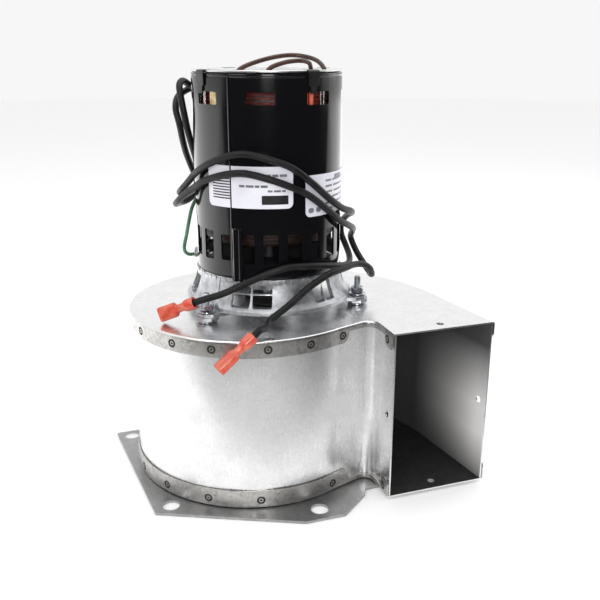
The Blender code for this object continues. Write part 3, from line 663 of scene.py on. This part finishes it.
def arc(centre, radius, start, end, inward):
    count = max(2, round(abs(math.radians(end - start)) * radius / STEP), round(abs(end - start) / 6))
    found = []
    for k in range(count + 1):
        p = polar(start + (end - start) * k / count, 1)
        found.append((centre[0] + radius * p.x, centre[1] + radius * p.y, inward * p.x, inward * p.y))
    return found


def scroll_line():
    """(x, y, inward x, inward y, distance along) round the housing."""
    out = (math.sin(FLARE_ANGLE), -math.cos(FLARE_ANGLE))
    along = (DUCT_LEFT - NOTCH_R - FLARE[0] - NOTCH_R * out[0]) / math.cos(FLARE_ANGLE)
    notch_y = FLARE[1] + along * math.sin(FLARE_ANGLE) + NOTCH_R * out[1]
    notch = arc((DUCT_LEFT - NOTCH_R, notch_y), NOTCH_R, 0, 90 + math.degrees(FLARE_ANGLE), 1)
    lx, ly, lr = LEFT_ARC
    rx, ry, rr = RIGHT_ARC
    to_left, to_right = BACK_ARC_R - lr, rr - BACK_ARC_R
    apart, heading = math.hypot(lx - rx, ly - ry), math.atan2(ly - ry, lx - rx)
    left = heading + math.acos((to_left ** 2 + apart ** 2 - to_right ** 2) / (2 * to_left * apart))
    right = heading - math.acos((to_right ** 2 + apart ** 2 - to_left ** 2) / (2 * to_right * apart))
    back = (lx - to_left * math.cos(left), ly - to_left * math.sin(left))
    left, right = math.degrees(left) - 360, math.degrees(right) - 360
    start = math.degrees(math.atan2(FLARE[1] - ly, FLARE[0] - lx))
    found = straight((DUCT_LEFT, OUTLET_Y), (DUCT_LEFT, notch_y), (1, 0))
    found += notch[1:] + straight(notch[-1][:2], FLARE, (-out[0], -out[1]))[1:-1]
    found += arc((lx, ly), lr, start, left, -1) + arc(back, BACK_ARC_R, left, right, -1)[1:]
    found += arc((rx, ry), rr, right, RIGHT_END - 360, -1)[1:]
    last = found[-1]
    found += straight(last[:2], (DUCT_RIGHT, OUTLET_Y), last[2:])[1:-1]
    found.append((DUCT_RIGHT, OUTLET_Y, -1 / math.cos(math.radians(RIGHT_END)), 0))
    length, line = 0.0, []
    for i, p in enumerate(found):
        length += math.dist(p[:2], found[i - 1][:2]) if i else 0
        line.append((*p, length))
    return line


LINE = scroll_line()
WHOLE = LINE[-1][4]


def at_depth(p, depth, z):
    return Vector((p[0] + p[2] * depth, p[1] + p[3] * depth, z))


def lip_depth(along, full, tab, start):
    """How far the lip reaches: a round-ended tab at the outlet, slim round the notch, then the full lip."""
    edge = tab - along if along < tab else along - start
    share = min(1, max(0, edge / 4.2))
    depth = SLIM_LIP + (full - SLIM_LIP) * math.sqrt(1 - (1 - share) ** 2)
    end = min(along, WHOLE - along)
    if end < 2:
        depth -= 2 * (1 - math.sqrt(1 - (1 - end / 2) ** 2))
    return depth


def lipped_sheet(face_z, turn, full, tab, start):
    """A flat sheet with its edge bent towards turn (-1 down, 1 up) along the spiral; index 1 is the lip."""
    rows = [[at_depth(p, BEND + 1.2, face_z) for p in LINE]]
    for degrees in (0, 22.5, 45, 67.5, 90):
        a = math.radians(degrees)
        depth, height = BEND * (1 - math.sin(a)), BEND * (1 - math.cos(a))
        rows.append([at_depth(p, depth, face_z + turn * height) for p in LINE])
    for share in (0.12, 0.35, 0.6, 0.8, 0.93, 1.0):
        rows.append([at_depth(p, 0, face_z + turn * (BEND + (lip_depth(p[4], full, tab, start) - BEND) * share))
                     for p in LINE])
    bm = bmesh.new()
    loops = bridge(bm, rows, closed=False)
    for face in bm.faces:
        face.material_index = int((face.calc_center_median().z - face_z) * turn > BEND * 0.6)
    bm.faces.new(loops[0])
    return bm


def clinch_cutters(places, z):
    """Round punched grooves with a centre dot, on the lip's outer side; their faces take index 2, a dark
    material that is painted shade in the recesses.
    """
    cutters = bmesh.new()
    for along in places:
        p = min(LINE, key=lambda q: abs(q[4] - along))
        outward = Vector((-p[2], -p[3], 0)).normalized()
        across = Vector((0, 0, 1)).cross(outward)
        stand = Matrix((across, Vector((0, 0, 1)), -outward)).transposed().to_4x4()
        stand = Matrix.Translation(at_depth(p, 0, z)) @ stand
        lathe(cutters, [(1.15, -0.4), (1.3, 0.35), (1.85, 0.6), (2.3, 0.42), (2.5, -0.4)], 28, stand, 2)
        turned(cutters, [(0.75, -0.4), (0.7, 0.2), (0.35, 0.45)], 14, stand, 2)
    return cutters


def hole_cutters(places, radius, low, high):
    cutters = bmesh.new()
    for x, y in places:
        rod(cutters, (x, y, low), (x, y, high), radius, 40)
    return cutters


def housing_plate(face_z, turn, full, tab, start, clinches, holes):
    """One of the two lipped plates; its clinches go on at even spacing past the listed ones."""
    clinches = list(clinches)
    while clinches[-1] < WHOLE - SPACING - 8:
        clinches.append(clinches[-1] + SPACING)
    bm = thickened(lipped_sheet(face_z, turn, full, tab, start), SHEET)
    bm = combined(bm, clinch_cutters(clinches, face_z + 5 * turn))
    for places, radius in holes:
        bm = combined(bm, hole_cutters(places, radius, face_z - 5, face_z + 5))
    return bm


SPACING = 27.5
EAR_ANGLES, EAR_R = (-148, -28, 92), 53.0
STUD_BORE, INLET_R = 2.4, 47
MOUTH_HOLE = [(75.5, -74.4)]

ears = [tuple(polar(a, EAR_R)[:2]) for a in EAR_ANGLES]
bm = housing_plate(TOP_Z, -1, 9.5, 9.8, 38.6, (7.2, 42.8, 65.5, 89.5, 119.6, 143.4),
                   (([(0, 0)], 9), (MOUTH_HOLE, 2), (ears, STUD_BORE)))
piece("housing_top", bm, "housing_steel", "top_plate", extra=("lip_steel", "groove_painted_shade"), sharp=30)

bm = housing_plate(BOTTOM_Z, 1, 10.8, 9.2, 37.0, (5.5, 49.0, 94.5, 124.0, 153.0),
                   (([(0, 0)], INLET_R), (MOUTH_HOLE, 2)))
# The bottom plate's upward inner faces take the near-black material: painted shade on the duct's floor.
bm.normal_update()
for face in bm.faces:
    if face.normal.z > 0.9 and face.material_index == 0:
        face.material_index = 3
piece("housing_bottom", bm, "housing_steel", "bottom_plate", extra=("lip_steel", "groove_painted_shade", "duct_floor_painted_shade"),
      sharp=30)


def scroll_wall():
    """The wrap between the two lips, slightly uneven as rolled sheet is."""
    low, high = levels("scroll_wrap")
    rows = []
    for k in range(15):
        z = low + (high - low) * k / 14
        free = math.sin(math.pi * k / 14)
        rows.append([])
        for p in LINE:
            uneven = 0.16 * free * noise.noise(Vector((p[4] / 38, z / 60, 3.1)))
            uneven *= min(1, p[4] / 30, (WHOLE - p[4]) / 30)
            rows[-1].append(at_depth(p, SHEET + GAP + abs(uneven), z))
    bm = bmesh.new()
    bridge(bm, rows, closed=False)
    return thickened(bm, SHEET, 1)


bm = bmesh.new()
for x in (DUCT_LEFT, DUCT_RIGHT):
    rod(bm, (x - 8, -75, 51.5), (x + 8, -75, 51.5), 2, 32)
bm = combined(scroll_wall(), bm)
# The wall's inner side takes the duct's inner material, whose colour holds painted shade and a painted pool of
# light.
piece("housing_wall", bm, "housing_steel", "scroll_wrap", extra=("inner_steel_painted_light_and_shade",), sharp=30)


# Mounting plate and inlet ring

PLATE = [(-93.9, 50.7), (-84.5, -53.3), (-7.5, -89.2), (16.2, -89.2), (35.3, -73.3), (34.8, -66.3),
         (92.0, -66.3), (92.0, 50.7)]
PLATE_HOLES = [(-73.7, -48.0), (3.8, -78.8), (-83.5, 43.6), (83.5, 43.0)]
bm = bmesh.new()
prism(bm, rounded(PLATE, 2.2, 6), 0, levels("mounting_plate")[1])
cutters = hole_cutters(PLATE_HOLES, 5, -5, 5)
into(cutters, hole_cutters([(0, 0)], INLET_R, -5, 5))
piece("base_plate", softened(combined(bm, cutters), 0.2), "plate_steel", "mounting_plate")

bm = bmesh.new()
lathe(bm, [(53, 3.0), (53, 3.9), (46.9, 3.9), (45.7, 4.1), (44.7, 4.6), (43.8, 5.5), (43.2, 6.7), (42.9, 8.0),
           (42.7, 9.5), (41.8, 9.5), (42.0, 7.7), (42.3, 6.3), (42.9, 5.0), (43.8, 4.0), (45.0, 3.3),
           (46.4, 3.0)], 128)
piece("inlet_bell", bm, "housing_steel", "inlet_ring")


# Impeller

def impeller():
    low, high = levels("impeller_blades")
    bm = bmesh.new()
    lip = 0.35
    for z in (low, high - 1.2):
        lathe(bm, [(44, z + lip), (44 + lip, z), (54 - lip, z), (54, z + lip), (54, z + 1.2 - lip),
                   (54 - lip, z + 1.2), (44 + lip, z + 1.2), (44, z + 1.2 - lip)], 96)
    blades = bmesh.new()
    for k in range(24):
        curve = []
        for i in range(9):
            t = i / 8
            curve.append(polar(15 * k + 2.4 * math.sin(math.pi * t) + 0.2 * t, 45.0 + 8.4 * t))
        bridge(blades, [[Vector((p.x, p.y, z)) for p in curve] for z in (low + 0.9, high - 0.9)], closed=False)
    into(bm, modified(blades, ("SOLIDIFY", {"thickness": 0.7, "offset": 0})))
    piece("blower_wheel", bm, "housing_steel", "impeller_blades", body=ROTOR)


impeller()


# Motor adapter: a cast cone with groups of windows, and three low ears with a pocket and a rib for each nut

ADAPTER_TOP = levels("motor_adapter")[1]


def adapter():
    bm = bmesh.new()
    lathe(bm, [(48.5, 106), (49.0, 106.4), (49.0, 108.2), (48.6, 108.7), (47.9, 109.2), (47.0, 110.1),
               (46.2, 111.2), (45.4, 112.7), (44.6, 114.5), (43.8, 116.5), (43.1, 118.9), (42.6, 121.2),
               (42.2, 123.2),
               (42.0, ADAPTER_TOP), (39.6, ADAPTER_TOP), (39.6, 124.2), (12.2, 124.2), (12.2, ADAPTER_TOP),
               (8.3, ADAPTER_TOP), (8.3, 110), (12.2, 110), (12.2, 122.2), (39.8, 122.2), (40.4, 119.0),
               (41.6, 115.2), (43.2, 111.4), (44.6, 108.6), (44.8, 106)], 144)
    pockets = bmesh.new()
    for degrees in EAR_ANGLES:
        rod(pockets, polar(degrees, EAR_R, 104), polar(degrees, EAR_R, 121), 6.6, 48)
    bm = combined(bm, pockets, overlapping=True)
    cutters = bmesh.new()
    for k in range(3):
        grid, pair = SEEN_TURN - 10.7 + 120 * k, SEEN_TURN + 45.4 + 120 * k
        for column in (-7.7, 7.9):
            for low, high in ((110.4, 116.1), (117.8, 122.0)):
                window(cutters, grid + column, 44.5, (low + high) / 2, 9.8, high - low, 0.4, 9)
        for column, wide in ((-4.9, 6.0), (4.8, 6.4)):
            window(cutters, pair + column, 44.5, 115.6, wide, 9.6, 0.5, 9)
    bm = softened(combined(bm, cutters, overlapping=True), 0.18, 2, 40)
    for degrees in EAR_ANGLES:
        stand = radial(degrees, EAR_R, 0)
        lug = rounded([(-9.5, -10.5), (0.5, -8.6), (5.4, -4.4), (5.8, 3.0), (1.5, 6.8), (-9.5, 10.5)], 1.6, 4)
        boss = rounded([(-5.6, -3.4), (-2.2, -6.0), (3.0, -5.4), (5.9, -1.8), (5.6, 3.0), (2.2, 5.8),
                        (-4.0, 5.4)], 0.7, 3)
        for outline, low, high, soft in ((lug, 104.3, 106.5, 0.4), (boss, 102.4, 104.6, 0.25)):
            solid, bore = bmesh.new(), bmesh.new()
            prism(solid, outline, low, high, stand)
            rod(bore, polar(degrees, EAR_R, 100), polar(degrees, EAR_R, 110), STUD_BORE, 32)
            into(bm, softened(combined(solid, bore), soft))
        web = [(42.3, 124.2), (42.9, 122.0), (43.6, 119.0), (44.5, 115.5), (45.6, 112.0), (46.8, 109.4),
               (47.6, 107.6), (47.8, 106.0), (41.6, 106.0), (41.4, 124.2)]
        turn = Matrix.Rotation(math.radians(degrees), 4, "Z")
        rib = bmesh.new()
        capped(rib, [[turn @ Vector((r, side, z)) for r, z in web] for side in (-0.8, 0.8)])
        into(bm, softened(rib, 0.15))
    marks = bmesh.new()
    for k in range(72):
        stand = radial(5 * k + 1.5, 42.35, 122.7 + 0.35 * (k % 3))
        prism(marks, slot_outline(1.6 + 0.5 * (k % 2), 0.9, 0.3), -0.5, 0.35, stand @ OUTWARD)
    into(bm, marks)
    return bm


piece("adapter_casting", adapter(), "cast_aluminium", "motor_adapter", sharp=40)


# Motor shell, with its seam, windows, slots and rolled rims

def motor_shell():
    low, high = shell_low.z / MM, shell_high.z / MM
    r, wall = SHELL_R, 1.2
    bm = bmesh.new()
    heights = [low + 2 + (high - low - 4.2) * k / 12 for k in range(13)]
    lathe(bm, [(r - 0.5, low), (r - 0.1, low + 0.3), (r, low + 0.9), *((r, z) for z in heights),
               (r - 0.25, high - 2.0), (r - 0.3, high - 1.7), (r - 0.05, high - 1.3), (r, high - 0.8),
               (r - 0.15, high - 0.25), (r - 0.55, high), (r - wall, high - 0.4), (r - wall, low + 0.4)], 180)
    cutters = bmesh.new()
    for k in range(8):
        window(cutters, SEEN_TURN - 2.2 + 45 * k, r, 220.8, 16, 7, 1.2)
    for k in range(20):
        window(cutters, SEEN_TURN + 4 + 18 * k, r, 141.8, 7.3, 15.5, 1.6 if k % 4 == 2 else 0.5)
    rod(cutters, GROMMET @ Vector((-6, 0, 0)), GROMMET @ Vector((6, 0, 0)), 6.2, 40)
    ground = radial(-209.15, r, 128.5)
    rod(cutters, ground @ Vector((-6, 0, 0)), ground @ Vector((6, 0, 0)), 1.8, 24)
    bm = softened(combined(bm, cutters), 0.22, 2, 40)
    seam = bmesh.new()
    outline = [(0, -0.9), (0.10, -0.75), (0.26, -0.45), (0.34, -0.1), (0.30, 0.35), (0.06, 0.42), (-0.3, 0.42),
               (-0.3, -0.9)]
    stand = radial(SEEN_TURN - 25.8, r, 0)
    prism(seam, outline, low + 0.3, high - 2.2, stand)
    into(bm, seam)
    return bm


piece("motor_can", motor_shell(), "shell_black", "motor_shell", sharp=35)


def seam_strap():
    """A folded strap over the seam's lower end, running down past the shell's rim."""
    bm = bmesh.new()
    section = [(-3.8, -0.2), (-3.5, 0.15), (-2.2, 1.35), (-1.8, 1.55), (-1.3, 1.5), (-0.8, 1.2), (-0.3, 0.95),
               (0.5, 0.9), (1.2, 1.05), (1.8, 1.15), (2.4, 0.95), (2.9, 0.45), (3.0, 0.0)]
    rings = []
    for z in (123.6, 124.2, 130, 136, 142, 148, 152.5, 153.2):
        stand = radial(SEEN_TURN - 21.3, SHELL_R, z)
        rings.append([stand @ Vector((out, across, 0)) for across, out in section])
    bridge(bm, rings, closed=False)
    return softened(thickened(bm, 0.3), 0.08)


piece("seam_strap", seam_strap(), "shell_black")


# Upper end shield with its slots and the four clips that hold it

CLIP = [(38.2, 234.95, 3.4), (39.6, 235.0, 3.5), (41.6, 235.0, 3.6), (42.4, 234.8, 3.6), (42.95, 234.3, 3.6),
        (43.1, 233.4, 3.6), (43.1, 230, 3.6), (43.0, 227.4, 3.5), (42.9, 226.6, 2.3), (42.9, 225, 2.1),
        (42.9, 223, 2.0)]  # radius, height and half width down a clip


def end_shield():
    bm = bmesh.new()
    lathe(bm, [(41.1, 233.6), (41.6, 233.9), (41.6, 234.5), (41.2, 234.8), (39.6, 234.8), (39.0, 234.6),
               (38.2, 234.55), (37.4, 234.8), (15.4, 234.8), (13.8, 235.2), (12.6, 235.8), (11.6, 236.0),
               (8.7, 236.0), (8.3, 235.7), (8.3, 226), (11.4, 226), (11.4, 233.6)], 144)
    cutters = bmesh.new()
    for k in range(12):
        prism(cutters, slot_outline(15, 4.2, 1.6, 6), -4, 4, radial(30 * k + 15, 30, 234.2))
    bm = softened(combined(bm, cutters), 0.15, 2, 40)
    for k in range(4):
        turn = SEEN_TURN - 52.9 + 90 * k
        clip = bmesh.new()
        rings = [[radial(turn, r, z) @ Vector((0, half * s, 0)) for s in (-1, -0.5, 0, 0.5, 1)]
                 for r, z, half in CLIP]
        bridge(clip, rings, closed=False, index=1)
        into(bm, softened(thickened(clip, 0.8), 0.12))
    return bm


piece("motor_end_plate", end_shield(), "end_steel", "upper_end_shield", extra=("clip_steel",), sharp=35)


# Windings: a wound body in layers of fine enamelled wire, with insulating sleeves on the coils' ends

def winding(level, flip, slot):
    """A coil end: its body, and strands round its outside, each a little uneven."""
    low, high = levels(f"{level}_windings")
    middle, half = (low + high) / 2, (high - low) / 2

    def section(a, radius, power):
        c, s = math.cos(a), math.sin(a)
        return (radius + 4.9 * math.copysign(abs(c) ** 0.7, c),
                middle + (half - 0.6) * math.copysign(abs(s) ** power, s))

    bm = bmesh.new()
    lathe(bm, [section(2 * math.pi * k / 28, 32.8, 0.8) for k in range(28)], 96)
    piece(f"{level}_coil_body", bm, "coil_dark", f"{level}_windings")
    rng = random.Random(41)
    routes = []
    for k in range(34):
        r0, z0 = section(math.radians(-100 + 200 * k / 33), 33.4, 0.9)
        phase, sway = rng.uniform(0, 6.28), rng.uniform(0.15, 0.45)
        routes.append([])
        for i in range(72):
            t = 2 * math.pi * i / 72
            lobe = 0.5 * math.cos(12 * t)
            r = r0 - 0.5 + 0.25 * lobe + 0.12 * math.sin(5 * t + phase)
            z = z0 + flip * 0.5 * lobe + sway * math.sin(3 * t + phase)
            routes[-1].append(Vector((r * math.cos(t), r * math.sin(t), z)))
    wire(f"{level}_coil_strands", routes, 0.55, slot, resolution=2, closed=True)


winding("upper", 1, "copper_wire")
winding("lower", -1, "coil_dark")


def coil_sleeve(name, slot, turn, width, count, radius):
    """Short insulating sleeves side by side on the coil's outside, behind a shell window."""
    bm = bmesh.new()
    for k in range(count):
        across = turn + width * (k - (count - 1) / 2)
        leaning = across + 0.8 * math.sin(k * 2.3)
        route = [seen(leaning, 39.2 + 0.5 * (k % 2), z) for z in (214.5, 218, 221.5, 226)]
        for a, b in zip(route, route[1:]):
            rod(bm, a, b, radius, 12)
            bmesh.ops.create_icosphere(bm, subdivisions=2, radius=radius, matrix=Matrix.Translation(b))
    piece(name, bm, slot, sharp=60)


coil_sleeve("cream_coil_ends", "coil_cream", -42.0, 2.6, 4, 0.85)
coil_sleeve("orange_coil_ends", "coil_orange", 36.4, 2.9, 3, 1.0)
coil_sleeve("bare_coil_ends", "tinned", 49.5, 2.2, 2, 0.5)
coil_sleeve("bare_coil_tails", "tinned", -55.0, 2.0, 2, 0.6)


# Labels: satin paper with plain marks only

def curved_patch(bm, first, last, low, high, radius, corner=0.0, index=0, step=1.5):
    """A thin patch on the shell between two directions and two heights, with round corners."""
    count = max(1, math.ceil(abs(last - first) / step))
    angles = {first + (last - first) * k / count for k in range(count + 1)}
    per_degree = math.radians(1) * radius
    if corner:
        for k in range(7):
            inset = corner / per_degree * (1 - math.cos(math.radians(15 * k)))
            angles |= {first + inset, last - inset}
    rows = [[], []]
    for turn in sorted(angles):
        edge = min(turn - first, last - turn) * per_degree
        cut = 0.0
        if edge < corner:
            cut = corner - math.sqrt(max(0, corner ** 2 - (corner - edge) ** 2))
        rows[0].append(seen(turn, radius, low + cut))
        rows[1].append(seen(turn, radius, high - cut))
    bridge(bm, rows, closed=False, index=index)


def label(name, node, first, last, low, high, marks):
    bm = bmesh.new()
    curved_patch(bm, first, last, low, high, SHELL_R + 0.24, 3.0)
    bm = thickened(bm, 0.12)
    for index, left, right, bottom, top, corner in marks:
        mark = bmesh.new()
        curved_patch(mark, left, right, bottom, top, SHELL_R + 0.265, corner, index)
        into(bm, mark)
    piece(name, bm, "label_white", node, extra=("label_ink", "label_grey"), sharp=60)


def bars(first, last, low, high, pattern, index):
    """A line of plain bars, their widths from pattern."""
    whole, at, found = sum(pattern), first, []
    for i, part in enumerate(pattern):
        wide = (last - first) * part / whole
        if i % 2 == 0:
            found.append((index, at, at + wide, low, high, 0))
        at += wide
    return found


code_marks = [(1, -42.4, -26.6, 168.9 + 1.5 * row, 169.6 + 1.5 * row, 0) for row in range(8)]
code_marks.append((1, -2.4, 17.0, 166.6, 171.4, 0.2))
code_marks += bars(-19, 2, 175.6, 176.9, (5, 1, 7, 1, 4, 1, 6), 2)
code_marks += bars(2, 15, 173.2, 174.3, (4, 1, 6, 1, 3), 2)
code_marks += bars(-2, 16, 181.2, 182.6, (6, 1, 4, 1, 5), 2)
label("small_label", "code_label", -47, 20.6, 164.3, 186.6, code_marks)

rating_marks = [(2, 33, 38, 160.6, 163.4, 1.3), (2, 40, 45, 160.6, 163.4, 1.3)]
for row in range(6):
    low, last = 161 + 3.1 * row, 110 - 6 * (row % 3)
    rating_marks += bars(50, last, low, low + 1.1, (5, 1, 8, 1, 3, 2, 7, 1, 4), 2)
rating_marks += bars(62, 76, 176.6, 179.6, (1,), 2)
label("large_label", "rating_label", 30.6, 115, 158.5, 181, rating_marks)


# Studs, spacers, washers and nuts at the three ears

def thread(bm, x, y, low, high, radius, pitch=0.8, sides=20):
    """A threaded rod with its end chamfered."""
    count = round((high - low) / pitch * 5)
    rings = []
    for i in range(count + 1):
        z = low + (high - low) * i / count
        rings.append([])
        for k in range(sides):
            wave = abs(((z / pitch - k / sides) % 1) * 2 - 1)
            r = min(radius - 0.36 * wave, radius - 0.4 + (high - z) * 0.8)
            rings[-1].append(Vector((x, y, z)) + polar(360 * k / sides, r))
    capped(bm, rings)


def hex_nut(x, y, low, high, across, bore):
    """A chamfered hexagon with a threaded-size bore."""
    stand = Matrix.Translation((x, y, 0))
    bm = bmesh.new()
    prism(bm, [tuple(polar(60 * k, across / math.sqrt(3))[:2]) for k in range(6)], low, high, stand)
    tool = bmesh.new()
    corner = across / math.sqrt(3)
    turned(tool, [(across / 2 - 0.1, low - 0.01), (corner + 0.05, low + 0.75), (corner + 0.05, high - 0.75),
                  (across / 2 - 0.1, high + 0.01)], 48, stand)
    bm = combined(bm, tool, "INTERSECT")
    if bore:
        hole = bmesh.new()
        turned(hole, [(bore + 0.5, low - 0.5), (bore + 0.4, low), (bore, low + 0.45), (bore, high - 0.45),
                      (bore + 0.4, high), (bore + 0.5, high + 0.5)], 32, stand)
        bm = combined(bm, hole)
    return softened(bm, 0.1)


for number, degrees in enumerate(EAR_ANGLES, 1):
    foot = polar(degrees, EAR_R)
    stand = Matrix.Translation(foot)
    bm = bmesh.new()
    thread(bm, foot.x, foot.y, 99.7, levels(f"mount_stud_{number}")[1], 2.0)
    turned(bm, [(3.6, 97.6), (4.2, 98.1), (4.2, 99.3), (3.9, 99.7)], 32, stand)
    piece(f"stud_{number}", bm, "zinc", f"mount_stud_{number}")
    bm = bmesh.new()
    lathe(bm, [(5.4, 101.3), (5.6, 101.5), (5.6, 101.95), (5.45, 102.1), (2.6, 102.1), (2.4, 101.95),
               (2.4, 101.45), (2.55, 101.3)], 40, stand)
    piece(f"foot_washer_{number}", bm, "zinc", f"stud_spacer_{number}")
    bm = bmesh.new()
    low, high = levels(f"stud_washer_{number}")
    lathe(bm, [(4.7, low), (4.9, low + 0.15), (4.9, high - 0.15), (4.75, high), (2.5, high), (2.3, high - 0.1),
               (2.3, low + 0.1), (2.45, low)], 40, stand)
    piece(f"washer_{number}", bm, "zinc", f"stud_washer_{number}")
    bm = hex_nut(foot.x, foot.y, *levels(f"stud_nut_{number}"), 7.0, 2.3)
    piece(f"nut_{number}", bm, "zinc", f"stud_nut_{number}")


# Ground connection

ground = radial(-209.15, SHELL_R, 128.5)
ground_axis = ground @ Matrix.Rotation(math.pi / 2, 4, "Y")
bm = bmesh.new()
turned(bm, [(1.4, -5), (1.5, -4.6), (1.5, 1.5), (3.0, 1.5), (3.2, 1.8), (3.2, 2.0)], 32, ground_axis)
head = hex_nut(0, 0, 1.8, 3.6, 5.5, 0)
head.transform(ground_axis)
into(bm, head)
piece("earth_screw", bm, "zinc", "ground_screw")
bm = bmesh.new()
lathe(bm, [(1.85, 0.4), (3.7, 0.4), (3.8, 0.5), (3.8, 1.05), (3.7, 1.15), (1.85, 1.15)], 40, ground_axis)
barrel = bmesh.new()
rod(barrel, ground @ Vector((0.9, 3.4, 0)), ground @ Vector((0.9, 8.2, 0)), 1.25, 20)
into(bm, softened(barrel, 0.2))
piece("earth_ring", bm, "tinned", "ground_ring")


# CAD nodes that keep their shape

KEPT = {
    "housing_steel": ["impeller_disc"],
    "cast_aluminium": ["impeller_hub"],
    "zinc": ["hub_set_screw"],
    "shaft_steel": ["motor_shaft"],
    "laminations": ["stator_core", "rotor_core"],
    "bronze": ["upper_bearing", "lower_bearing"],
    "black_rubber": ["shaft_seal"],
    "plastic": ["cooling_fan", "thermal_protector"],
}
for material, nodes in KEPT.items():
    for node in nodes:
        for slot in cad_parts[node].material_slots:
            slot.material = MATERIALS[material]


# Floor, lights and surroundings

bm = bmesh.new()
bmesh.ops.create_circle(bm, cap_ends=True, segments=96, radius=4)
mesh = bpy.data.meshes.new("floor")
bm.to_mesh(mesh)
bm.free()
floor = bpy.data.objects.new("floor", mesh)
floor.location.z = -0.0002
bpy.context.scene.collection.objects.link(floor)

# The metal mirrors this floor darker than it looks: less and less of it shows away from the piece and to the
# right, while behind the piece it glows.
PALE = 0.93
MIRRORED_LEFT, MIRRORED_RIGHT, MIRRORED_FAR, MIRRORED_BEHIND = 0.52, 0.22, 0.02, 0.95
g = Graph("floor_pale", (PALE, PALE, PALE), 0.7, Specular_IOR_Level=0.1, Emission_Color=(1, 1, 1, 1))
right, behind = g.axis(g.place, 0), g.axis(g.place, 1)
away = g.node("VectorMath", {0: g.place}, "Value", operation="LENGTH")
near = g.blend(g.step(right, -0.02, 0.20), MIRRORED_LEFT, MIRRORED_RIGHT)
front = g.blend(g.step(away, 0.24, 0.42), near, MIRRORED_FAR)
mirrored = g.blend(g.step(behind, -0.15, -0.09), front, MIRRORED_BEHIND)
glossy = g.node("LightPath", output="Is Glossy Ray")
shade = g.blend(glossy, PALE, mirrored)
g.set("Base Color", g.node("CombineColor", {0: shade, 1: shade, 2: shade}))
g.set("Emission Strength", g.product(g.step(behind, -0.10, 0.35), glossy))
mesh.materials.append(MATERIALS["floor_pale"])
floor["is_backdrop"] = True


def softbox(name, position, aim, size, power):
    light = bpy.data.objects.new(name, bpy.data.lights.new(name, "AREA"))
    light.data.shape = "RECTANGLE"
    light.data.size, light.data.size_y = size
    light.data.energy = power
    light.location = position
    light.rotation_euler = (Vector(aim) - Vector(position)).to_track_quat("-Z", "Y").to_euler()
    bpy.context.scene.collection.objects.link(light)


softbox("key", (-0.85, -0.45, 0.75), (0, 0, 0.1), (0.5, 0.9), 2.5)
softbox("top", (0.1, 0.1, 1.3), (0, 0, 0.1), (1.0, 1.0), 3)
softbox("right", (0.95, 0.15, 0.6), (0, 0, 0.1), (0.4, 0.9), 1.5)
softbox("front", (-0.20, -0.72, 0.34), (0.09, -0.06, 0.05), (0.22, 0.22), 1.6)

# The studio: mirrored surfaces see it unlit on the front side, up to a ceiling that is lit all round.
UNLIT_TURN = SEEN_TURN + 13.6
UNLIT_HALF, UNLIT_EDGE = math.radians(72), math.radians(84)
world = bpy.data.worlds.new("studio")
bpy.context.scene.world = world
world.use_nodes = True
sky = Tree(world.node_tree)
place = sky.node("TexCoord", output="Generated")
level = sky.node("VectorMath", {0: place, 1: (1, 1, 0)}, operation="MULTIPLY")
level = sky.node("VectorMath", {0: level}, operation="NORMALIZE")
facing = sky.node("VectorMath", {0: level, 1: polar(UNLIT_TURN, 1)}, "Value", operation="DOT_PRODUCT")
unlit = sky.step(facing, math.cos(UNLIT_EDGE), math.cos(UNLIT_HALF))
dark = sky.blend(sky.step(sky.axis(place, 2), 0.60, 0.82), 0.05, 1.0)
mirrored = sky.blend(unlit, 1.0, dark)
lit = sky.blend(sky.node("LightPath", output="Is Diffuse Ray"), mirrored, 0.98)
strength = sky.blend(sky.node("LightPath", output="Is Camera Ray"), lit, PALE)
background = sky.nodes["Background"]
sky.fill(background.inputs["Strength"], strength)
background.inputs["Color"].default_value = (1, 1, 1, 1)
bpy.context.scene.view_settings.view_transform = "Standard"

low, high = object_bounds()
